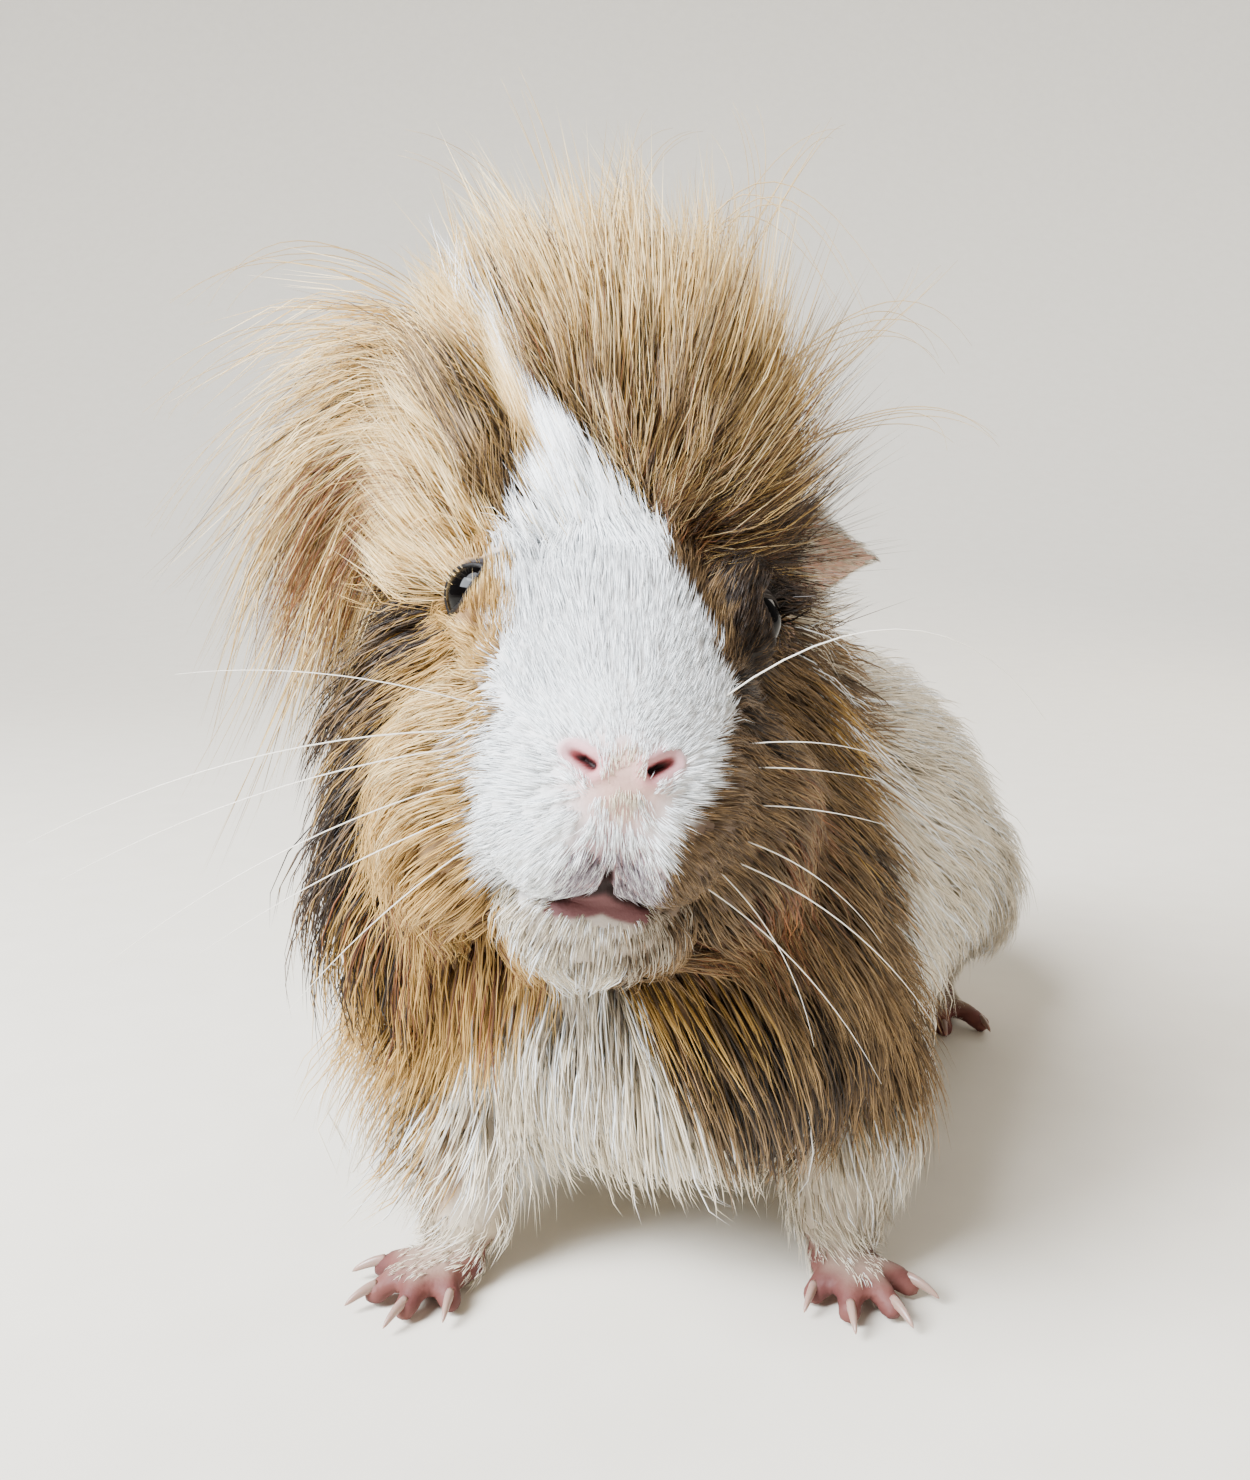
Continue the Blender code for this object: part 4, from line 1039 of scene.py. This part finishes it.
def makeCrest():
    # tips spread over the shell, more in front, and a wedge of white ones up the parting; each tuft runs
    # to its tip under the shell, from a root deeper in, in the direction that its fan gives
    rng = np.random.default_rng(71)
    ball = unit(rng.normal(size=(crest["count"] * 4, 3)))
    inFront = rng.random(len(ball)) < np.where(ball[:, 1] < 0.3, 1, 0.5)
    ball = ball[(ball[:, 2] > crest["lowest"]) & inFront][:crest["count"]]
    up = rng.uniform(30, 62, crest["wedgeCount"])
    right, left = blazeSides(up)
    wedge = right + (left - right) * rng.random(len(up))
    wedge = np.stack([(wedge + 5) / 34, np.full(len(up), -0.95), (up - 30) / 44.5], -1)
    ball = np.concatenate([ball, unit(wedge)])
    n = len(ball)
    tip = onShell(crest["middle"] + ball * crest["radii"])
    side = smoothStep(-2, 2, tip[:, 0] - np.interp(tip[:, 2], crest["partUp"], crest["partSide"]))[:, None]
    rear, high = smoothStep(0.1, 0.6, ball[:, 1])[:, None], smoothStep(42, 58, tip[:, 2])[:, None]
    rightFan = (1 - high) * crest["rightFan"] + high * crest["lockFan"]
    way = side * unit(tip - crest["leftFan"]) + (1 - side) * unit(tip - rightFan)
    way = way * (1 - rear) + np.array((0, 0.9, -0.35)) * rear
    right, left = blazeSides(tip[:, 2])
    inWedge = smoothStep(-1.5, 0.5, tip[:, 0] - right) * smoothStep(1.5, -0.5, tip[:, 0] - left)
    inWedge = (inWedge * smoothStep(0.3, -0.3, ball[:, 1]))[:, None]
    way = way + (np.array((-0.5, 0, 0.87)) - way) * inWedge
    way = way + (0.22 - 0.17 * inWedge) * np.stack([smoothNoise(tip * mm, 13, 21 + k) for k in range(3)], -1)
    outward = unit(ball / crest["radii"])
    way = unit(way - (way * outward).sum(1, keepdims=True) * outward)
    seen = np.interp(awayFrom(tip, crest["leftFan"]), (4, 50), (7, 15)) * rng.uniform(0.8, 1.2, n)
    back = way * seen[:, None]
    near, far = onShell(tip - back * 0.55, 0.05), onShell(tip - back * 1.1, 0.2)
    root, normals = nearestSkin(inHead(onShell(tip - back * 1.5, 0.6)))
    wisp = (rng.random(n) < crest["wisps"]) & ((tip[:, 2] > 60) | (tip[:, 0] > 15))
    wisp &= (ball[:, 1] < 0.5) & (inWedge[:, 0] < 0.3)
    lift = rng.uniform(-0.6, 2.2, (n, 1)) + 1.6 * smoothNoise(tip * mm, 9, 27)[:, None]
    tip = tip + outward * lift * (1 - inWedge)
    aside = 1 + 0.9 * smoothStep(12, 22, tip[:, :1])
    tip = tip + wisp[:, None] * (way * rng.uniform(5, 16, (n, 1)) * aside + outward * rng.uniform(1, 7, (n, 1)))
    t = np.linspace(0, 1, pathSteps)[None, :, None]
    paths = ((1 - t) ** 3 * root[:, None] + 3 * (1 - t) ** 2 * t * inHead(far)[:, None]
             + 3 * (1 - t) * t**2 * inHead(near)[:, None] + t**3 * inHead(tip)[:, None])
    length, clump = pathLengths(paths), np.where(wisp, 0.9, 0.25)
    strands, ups = children(paths, normals, length, np.full(n, 1.7), crest["each"], clump, 0.035, rng, 0.88, 0)
    strands[..., 2] = heldBack(strands[..., 2], crest["top"], crest["topRoom"])
    shares = crestShares(toHead(strands[:, 5]), np.repeat(wisp, crest["each"]))
    dressed("coatCrest", strands, ups, np.repeat(length * 0.6, crest["each"]), 3, 0.9, unwrapHead, rng, shares)


browStripe = ((-18, 34), (-31, 52))  # a dark streak over the right eye, seen from in front


def crestShares(spots, loose):
    # white in the wedge, brown and dark to the left of the parting, gold and cream to its right and
    # towards the top, with painted shade under the crest beside the left eye and a pale line along the parting
    x, y, z = spots.T
    right, left = blazeSides(z)
    front = smoothStep(62, 56, y)
    white = smoothStep(-0.8, 0.5, x - right) * smoothStep(0.8, -0.5, x - left) * front
    part = np.interp(z, crest["partUp"], crest["partSide"])
    beyond = smoothStep(0.6, -0.6, x - part) * front
    stripe = smoothStep(7, 3, lineDistance(np.stack([x, z], -1), *browStripe)) * beyond
    low = smoothStep(16, 7, np.hypot(x - 12, z - 24))
    # painted shade: darker where the crest hangs over the left eye
    shadeBesideEye = smoothStep(13, 18, x) * smoothStep(42, 32, z)
    line = smoothStep(3.4, 1.4, np.abs(x - part)) * smoothStep(50, 58, z) * front * 0.75
    loose = loose * smoothStep(45, 60, z)
    edge = smoothStep(9, 2, x - left) * front
    high = smoothStep(52, 66, z) * (1 - 0.5 * edge)
    lefts, rights = (1 - white) * (1 - beyond), (1 - white) * beyond
    lefts = lefts * (1 - loose * 0.8)
    return tuftShares(
        len(spots), white=white * smoothStep(73, 68, z) + line * 0.8,
        dark=lefts * (0.14 + 0.25 * edge + 0.2 * low) * (1 - 0.7 * high) + shadeBesideEye * 2.2 + rights * stripe * 0.25,
        rust=lefts * (0.05 + 0.5 * low),
        agouti=lefts * (0.6 - 0.25 * high) + rights * stripe * 0.6,
        gold=lefts * (0.16 + 0.1 * high) + rights * (0.5 - 0.4 * stripe) + loose * 0.7,
        cream=lefts * (0.14 + 0.3 * high) + rights * 0.5 * (1 - stripe) + loose * 0.4 + line + 0.02)


sideFan = {"count": 950, "each": 9, "rise": 80, "fall": 64, "reach": 0.069, "room": 0.007}


def makeSideLock():
    # arcs that leave the parting, rise, and hang outwards; those nearer the brow are shorter
    rng = np.random.default_rng(72)
    n = sideFan["count"]
    t, layer, rear = rng.random(n), rng.random(n), rng.random(n) ** 0.8
    spread = 1 - 0.42 * layer
    root = np.stack([-10 - 14 * t, 42 + 30 * rear, 42 - 8 * t], -1)
    bend = np.stack([(-40 - 12 * t) * spread, root[:, 1] + 3, sideFan["rise"] - 28 * t - 22 * layer], -1)
    tip = np.stack([(-68 + 6 * t) * spread, root[:, 1] + 8 - 3 * t, 46 - sideFan["fall"] * t - 6 * layer], -1)
    bend, tip = bend + rng.normal(0, 3, (n, 3)), tip + rng.normal(0, 4.5, (n, 3)) * (1, 0.6, 1.6)
    tip[:, 0] = np.maximum(tip[:, 0], -70)
    roots, normals = nearestSkin(inHead(root))
    part = (0.5 + 0.5 * smoothStep(0.1, 0.6, rear)) * rng.uniform(0.75, 1.05, n)
    t = np.linspace(0, 1, pathSteps)[None, :, None] * part[:, None, None]
    paths = ((1 - t) ** 2 * roots[:, None] + 2 * t * (1 - t) * inHead(bend)[:, None]
             + t**2 * inHead(tip)[:, None])  # the first part of a quadratic curve
    length = pathLengths(paths)
    strands, ups = children(paths, normals, length, np.full(n, 2.0), sideFan["each"], 0.45, 0.025, rng, 0.7, 0)
    strands[..., 0] = -heldBack(-strands[..., 0], sideFan["reach"], sideFan["room"])
    x, y, z = toHead(strands[:, 4]).T
    stripe = smoothStep(7, 3, lineDistance(np.stack([x, z], -1), (-18, 34), (-34, 56))) * smoothStep(66, 56, y)
    ear = smoothStep(1.2, 0.7, np.hypot((x + 40) / 8.5, (z - 29) / 8))
    shares = tuftShares(len(strands), rust=ear * 2, agouti=0.08 + 0.6 * stripe + 0.3 * ear,
                        dark=0.02 + 0.1 * stripe, gold=0.42 - 0.2 * stripe, cream=0.48 - 0.38 * stripe)
    length = np.repeat(length * 0.5, sideFan["each"])
    dressed("coatSideLock", strands, ups, length, 4, 1.0, unwrapHead, rng, shares)


makeCrest()
makeSideLock()

# root, bend and tip in the head's frame, and breadth at the root; millimetres
whiskers = (
    ((14, 14, 9), (36, 10, 30), (58, 20, 9), 0.34), ((15, 15, 2), (26, 12, 5), (36, 20, 2), 0.22),
    ((15, 15, -1), (26, 12, 1), (36, 18, -1), 0.2), ((15, 14, -5), (27, 12, -4), (38, 18, -7), 0.22),
    ((14, 13, -8), (28, 8, -11), (39, 18, -23), 0.26), ((13, 13, -10), (33, 8, -16), (49, 20, -35), 0.3),
    ((11, 12, -14), (27, 6, -22), (41, 16, -42), 0.26), ((12, 12, -11), (24, 6, -20), (30, 12, -36), 0.22),
    ((-17, 15, 1), (-44, 8, 0), (-74, 22, -20), 0.3), ((-17, 15, -1), (-42, 8, -5), (-69, 20, -24), 0.28),
    ((-16, 14, -5), (-40, 6, -12), (-62, 18, -34), 0.26), ((-15, 13, -8), (-34, 6, -16), (-50, 16, -31), 0.26),
    ((-14, 12, -11), (-28, 4, -20), (-40, 14, -40), 0.24), ((-16, 15, 4), (-36, 10, 9), (-56, 20, 4), 0.22),
)
guardHairs = (  # the same for stray hairs of the crest and of the lock over the right ear
    ((-4, 60, 52), (-12, 58, 78), (-22, 60, 94), 0.3), ((4, 62, 60), (14, 56, 100), (36, 50, 62), 0.26),
    ((10, 62, 60), (22, 60, 92), (28, 62, 95), 0.24), ((20, 60, 52), (40, 56, 74), (52, 56, 62), 0.22),
    ((26, 62, 44), (46, 56, 56), (56, 56, 48), 0.22), ((24, 60, 50), (40, 58, 66), (46, 58, 76), 0.2),
    ((-30, 70, 60), (-52, 66, 74), (-72, 66, 58), 0.22), ((-36, 72, 56), (-60, 68, 60), (-74, 68, 40), 0.22),
    ((-34, 72, 50), (-58, 68, 52), (-73, 70, 22), 0.22), ((0, 66, 60), (-4, 66, 88), (4, 70, 94), 0.22),
    ((-10, 64, 56), (-20, 60, 80), (-38, 60, 84), 0.22), ((14, 64, 58), (20, 60, 84), (12, 62, 95), 0.22),
)


def longHairs(name, table, hexText, fromSkin=False, sides=6, rings=14):
    # one tapering tube for each row: its radius falls as 1 - t^1.6 along a quadratic curve
    forms = []
    t = np.linspace(0, 1, rings)[:, None]
    angle = np.linspace(0, 2 * math.pi, sides, endpoint=False)[None, :, None]
    for root, bend, tip, breadth in table:
        start = inHead(root)
        if fromSkin:
            start = nearestSkin(start[None])[0][0]
        path = (1 - t) ** 2 * start + 2 * t * (1 - t) * inHead(bend) + t**2 * inHead(tip)
        along = unit(np.gradient(path, axis=0))
        across = unit(np.cross(along, headBack))
        size = (breadth * 0.27 * mm * (1 - t**1.6) + 0.02 * mm)[:, None, :]
        spokes = np.cos(angle) * across[:, None] + np.sin(angle) * np.cross(across, along)[:, None]
        forms.append(closedTube(path[:, None] + size * spokes))
    made = meshObject(name, *joinForms(forms))
    paint, tree = newMaterial(name + " keratin")  # stiff, smooth and pale, with a thin bright glint
    shader = addNode(tree, "BsdfPrincipled", {"Base Color": (*linearColor(hexText), 1), "Roughness": 0.35})
    addNode(tree, "OutputMaterial", {"Surface": shader.outputs["BSDF"]})
    made.data.materials.append(paint)
    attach(made, "root")
    print(name, len(table), "hairs")


longHairs("whiskers", whiskers, "#efe9dd", fromSkin=True)
strayRng = np.random.default_rng(73)
strayHairs = {"copies": 5, "thicker": 1.3, "root": 1, "bend": 2.5, "tip": 3}  # and how far each may stray
strays = [(np.array(root) + strayRng.normal(0, strayHairs["root"], 3),
           np.array(bend) + strayRng.normal(0, strayHairs["bend"], 3),
           np.array(tip) + strayRng.normal(0, strayHairs["tip"], 3) * (1, 1, 0.5),
           breadth * strayHairs["thicker"])
          for root, bend, tip, breadth in guardHairs for _ in range(strayHairs["copies"])]
longHairs("guardHairs", strays, "#b99c68")


def mixTo(tint, hexText, mask):
    # the tint moves towards the colour by the mask
    return tint + (linearColor(hexText) - tint) * np.clip(mask, 0, 1)[:, None]


def paintSkin():
    # the coat's own markings, darker as painted shade deep in the coat, and over them in turn the bare places in their
    # own colours, some with painted shade
    h, high = toHead(skinPoints), skinPoints[:, 2] / mm
    near, lip, x = nostrilDistance(restHead), mouthDistance(restHead), h[:, 0]
    # painted shade: the skin between the hairs is darker than their roots, as the depths of the coat are in shade
    hairColors = 0.7 * colorTable[:, 0] + 0.3 * colorTable[:, 1]
    tint = (markings(skinPoints)[:, :, None] * hairColors[None]).sum(1) * 0.8
    bareSkin = [  # colour and mask
        ("#d9b8a6", np.full(len(h), 0.12)),  # a flush of blood everywhere
        ("#c99f97", 0.85 * smoothStep(9, 3, awayFrom(h, (0, 1, -2)))),  # nose
        ("#b8767c", smoothStep(3.0, 1.2, near) * 0.75),  # nostrils, from their pink rims inwards; darker inside as painted shade in the holes
        ("#7c3a3c", smoothStep(1.0, 0.62, near)),
        ("#1c0606", smoothStep(0.68, 0.42, near)),
        ("#a9868a", smoothStep(9, 5, awayFrom(h, (0, 3, -12), (1, 1, 0.8))) * 0.8),  # upper lip
        ("#5e3a3b", smoothStep(3.6, 3.0, lip) * (restHead[:, 2] < -16) * (np.abs(x) < 7)),  # lower lip
        # painted shade: near black in the slit of the mouth and in the cleft
        ("#1c0807", smoothStep(1.6, 1.0, lip)),
        ("#2a1010", smoothStep(1.0, 0.5, cleftDistance(restHead))),
    ]
    for side in (1, -1):
        close = nearEye(h, side, 10)
        bareSkin.append(("#1d1416", smoothStep(1.5, 1.1, openingOf(h, side, 1.6)[0]) * close))  # the lids' own dark skin, darker still as painted shade in the eye's corners
        bareSkin.append(("#0a0606", smoothStep(1.45, 1.15, openingOf(h, side)[0]) * close))  # lids: their own dark skin, near black as painted shade in the gap round the ball
    ear = smoothStep(26, 30, np.abs(x)) * (h[:, 2] > 12) * (h[:, 1] < 69)
    low = smoothStep(8, 4.5, high)
    mottle = 0.5 + 0.5 * smoothNoise(skinPoints, 6, 9)
    bareSkin += [
        ("#1c120b", smoothStep(1.2, 0.8, awayFrom(h, (21, 38, 18), (9, 14, 14)))),  # behind the left eye: dark like the coat there, darker still as painted shade round the eye
        ("#c79f8c", ear * (x > 0)), ("#8a5232", ear * (x < 0)),
        ("#6c3f39", low * 0.98), ("#4d2827", low * 0.9 * mottle * smoothStep(7, 3, high)),  # feet: their own reddish skin, darkened as painted shade, most near the floor, with a random mottle
    ]
    for hexText, mask in bareSkin:
        tint = mixTo(tint, hexText, mask)
    paint = skin.data.attributes.new("skinTint", "FLOAT_COLOR", "POINT")
    opaque = np.concatenate([np.clip(tint, 0, 1), np.ones((len(tint), 1))], 1)
    paint.data.foreach_set("color", opaque.astype(np.float32).ravel())


paintSkin()
skinPaint, tree = newMaterial("skin under the coat")  # soft and finely pored
tone = addNode(tree, "VertexColor", layer_name="skinTint")
where = addNode(tree, "TexCoord").outputs["Object"]
pores = addNode(tree, "TexNoise", {"Vector": where, "Scale": 1400.0, "Detail": 3.0})
bump = addNode(tree, "Bump", {"Height": pores.outputs["Fac"], "Strength": 0.35, "Distance": 0.0003})
shader = addNode(tree, "BsdfPrincipled", {"Base Color": tone.outputs["Color"], "Roughness": 0.6,
                                          "Specular IOR Level": 0.25, "Normal": bump.outputs["Normal"]})
addNode(tree, "OutputMaterial", {"Surface": shader.outputs["BSDF"]})
skin.data.materials.append(skinPaint)
print("skin colours painted")


def makeEye(side):
    # a sphere whose front swells by a bell curve, as the cornea does
    latitude = np.linspace(-math.pi / 2, math.pi / 2, 48)[:, None] * 0.998
    longitude = np.linspace(0, 2 * math.pi, 64, endpoint=False)[None, :]
    ball = np.stack([np.cos(latitude) * np.cos(longitude), np.cos(latitude) * np.sin(longitude),
                     np.sin(latitude) * np.ones_like(longitude)], -1)
    axis = lidFrame(side)[0]
    swell = np.exp(-((np.arccos(np.clip(ball @ axis, -1, 1)) / eyeball["spread"]) ** 2))
    points = ball * (eyeball["radius"] + eyeball["bulge"] * swell)[..., None]
    name = "eyeLeft" if side > 0 else "eyeRight"
    return meshObject(name, *closedTube(eyeSpots[side] + points @ headAxes * mm))


eyes = {side: makeEye(side) for side in (1, -1)}
eyePaint, tree = newMaterial("dark wet eye")  # near-black iris under a clear, wet cornea
shader = addNode(tree, "BsdfPrincipled", {
    "Base Color": (*linearColor("#040303"), 1), "Roughness": 0.05, "IOR": 1.28,
    "Specular IOR Level": 0.15, "Coat Weight": 0.05, "Coat Roughness": 0.02})
addNode(tree, "OutputMaterial", {"Surface": shader.outputs["BSDF"]})
for eye in eyes.values():
    eye.data.materials.append(eyePaint)
print("eyes", eyeball["radius"] * 2, "mm across")

claw = {"radius": 0.95, "length": 5.4, "drop": 1.6}


def makeClaws(name):
    # a curved horn from the end of each toe: the radius falls to the point, and the path bends down
    forms = []
    foot = feet[name]
    t = np.linspace(0, 1, 12)[:, None]
    angle = np.linspace(0, 2 * math.pi, 12, endpoint=False)[None, :, None]
    for i in range(foot["toes"]):
        middle = boxMiddle(f"claw_{name}_{i + 1}") / mm
        way = unit(np.array((middle[0] - foot["heel"][0], middle[1] - foot["heel"][1], 0)))
        path = middle + way * (t - 0.5) * claw["length"] + np.array((0, 0, 1)) * (0.6 - claw["drop"] * t**2)
        across = np.cross(way, (0, 0, 1))
        above = unit(np.cross(across, np.gradient(path, axis=0)))
        size = claw["radius"] * np.sqrt(1 - t**1.4 * 0.995)[:, None, :]
        rim = path[:, None] + size * (0.8 * np.cos(angle) * across + np.sin(angle) * above[:, None])
        forms.append(closedTube(rim * mm))
    made = meshObject("claws_" + name, *joinForms(forms))
    made.data.materials.append(clawPaint)
    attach(made, "root")
    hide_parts(*[f"claw_{name}_{i + 1}" for i in range(foot["toes"])])


clawPaint, tree = newMaterial("pale claw horn")  # translucent pinkish horn with a dull polish
shader = addNode(tree, "BsdfPrincipled", {"Base Color": (*linearColor("#957a6e"), 1), "Roughness": 0.32,
                                          "Subsurface Weight": 0.2, "Subsurface Scale": 0.001})
addNode(tree, "OutputMaterial", {"Surface": shader.outputs["BSDF"]})
for name in feet:
    makeClaws(name)
print("claws on", len(feet), "feet")

# metres and degrees; "columns" counts the points across
floorSpec = {"front": -1.2, "back": 0.8, "rise": 3.2, "bend": 2.2, "half": 3.2, "columns": 9, "turned": 18}


def makeFloor():
    # a sheet that runs back level, then turns up through a quarter circle
    turn = np.linspace(0, math.pi / 2, 20)
    back, bend = floorSpec["back"], floorSpec["bend"]
    y = np.concatenate([np.linspace(floorSpec["front"], back, 12), back + bend * np.sin(turn[1:]), [back + bend]])
    z = np.concatenate([np.zeros(12), bend * (1 - np.cos(turn[1:])), [floorSpec["rise"]]])
    across = floorSpec["columns"]
    x = np.linspace(-floorSpec["half"], floorSpec["half"], across)
    points = np.stack(np.broadcast_arrays(x[None, :], y[:, None], z[:, None]), -1).reshape(-1, 3)
    row, column = np.meshgrid(np.arange(len(y) - 1), np.arange(across - 1), indexing="ij")
    corner = row * across + column
    quads = np.stack([corner, corner + 1, corner + across + 1, corner + across], -1)
    angle = math.radians(floorSpec["turned"])
    spin = np.array(((math.cos(angle), -math.sin(angle), 0), (math.sin(angle), math.cos(angle), 0), (0, 0, 1)))
    return meshObject("floor", points @ spin.T, quads.reshape(-1, 4), np.zeros((0, 3)))


floor = makeFloor()
floorPaint, tree = newMaterial("matte pale floor")  # a plain pale ground with the faintest mottle
where = addNode(tree, "TexCoord").outputs["Object"]
spots = addNode(tree, "TexNoise", {"Vector": where, "Scale": 60.0, "Detail": 4.0})
tint = addNode(tree, "ValToRGB", {"Fac": spots.outputs["Fac"]})
tint.color_ramp.elements[0].color = (*linearColor("#d9d2c4"), 1)
tint.color_ramp.elements[1].color = (*linearColor("#e2dccf"), 1)
shader = addNode(tree, "BsdfPrincipled", {"Base Color": tint.outputs["Color"], "Roughness": 0.85})
addNode(tree, "OutputMaterial", {"Surface": shader.outputs["BSDF"]})
floor.data.materials.append(floorPaint)


def place(name, data, turned, spot=(0, 0, 0)):
    # an object for a camera or a light, turned by these angles and moved to the spot
    holder = bpy.data.objects.new(name, data)
    holder.rotation_euler = turned
    holder.location = spot
    bpy.context.scene.collection.objects.link(holder)
    return holder


# millimetres and degrees: the lens points down by "down", and "azimuth" turns it about the animal
cameraSpec = {"place": (66.7, -258.5, 117.0), "azimuth": 18.0, "down": 8.0, "lens": 30.9, "sensor": 36,
              "nearest": 0.01}
lens = bpy.data.cameras.new("camera")
lens.lens = cameraSpec["lens"]
lens.sensor_width = cameraSpec["sensor"]
lens.clip_start = cameraSpec["nearest"]
turned = (math.radians(90 - cameraSpec["down"]), 0, math.radians(cameraSpec["azimuth"]))
bpy.context.scene.camera = place("camera", lens, turned, np.array(cameraSpec["place"]) * mm)

# soft, cool daylight from high on the right, a window as a broad glint in the eye, and warm light
# from the room; metres
sunlight = {"strength": 5.9, "breadth": 24, "down": 39, "turned": -34, "color": "#f8faff"}
lights = {
    "window": {"place": (-0.50, -0.66, 0.60), "aim": (0, -0.05, 0.09), "size": 0.4, "watts": 36.0, "color": "#f2f8ff"},
    "roomLeft": {"place": (0.9, -0.6, 0.5), "aim": (0, 0, 0.08), "size": 0.9, "watts": 3.5, "color": "#ffedd6"},
    "behind": {"place": (0.3, 0.9, 0.8), "aim": (0, 0, 0.1), "size": 0.7, "watts": 7.0, "color": "#fff6ea"},
}
surroundings = {"color": "#dfe0de", "strength": 0.38}
daylight = bpy.data.lights.new("daylight", "SUN")
daylight.energy = sunlight["strength"]
daylight.angle = math.radians(sunlight["breadth"])
daylight.color = linearColor(sunlight["color"])
place("daylight", daylight, (math.radians(sunlight["down"]), 0, math.radians(sunlight["turned"])))
for name, spec in lights.items():
    lamp = bpy.data.lights.new(name, "AREA")
    lamp.size = spec["size"]
    lamp.energy = spec["watts"]
    lamp.color = linearColor(spec["color"])
    way = unit(np.array(spec["aim"]) - np.array(spec["place"]))
    place(name, lamp, (math.acos(-way[2]), 0, math.atan2(way[0], -way[1]) + math.pi), spec["place"])
world = bpy.data.worlds.new("studio")
bpy.context.scene.world = world
world.use_nodes = True
sky = world.node_tree.nodes["Background"].inputs
sky["Color"].default_value = (*linearColor(surroundings["color"]), 1)
sky["Strength"].default_value = surroundings["strength"]
print("floor, camera and", len(lights) + 1, "lights")

for piece in (skin, *eyes.values()):
    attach(piece, "root")
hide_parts("eye_left")
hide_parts("eye_right")
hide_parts(*[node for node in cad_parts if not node.startswith(("eye_", "claw_"))])
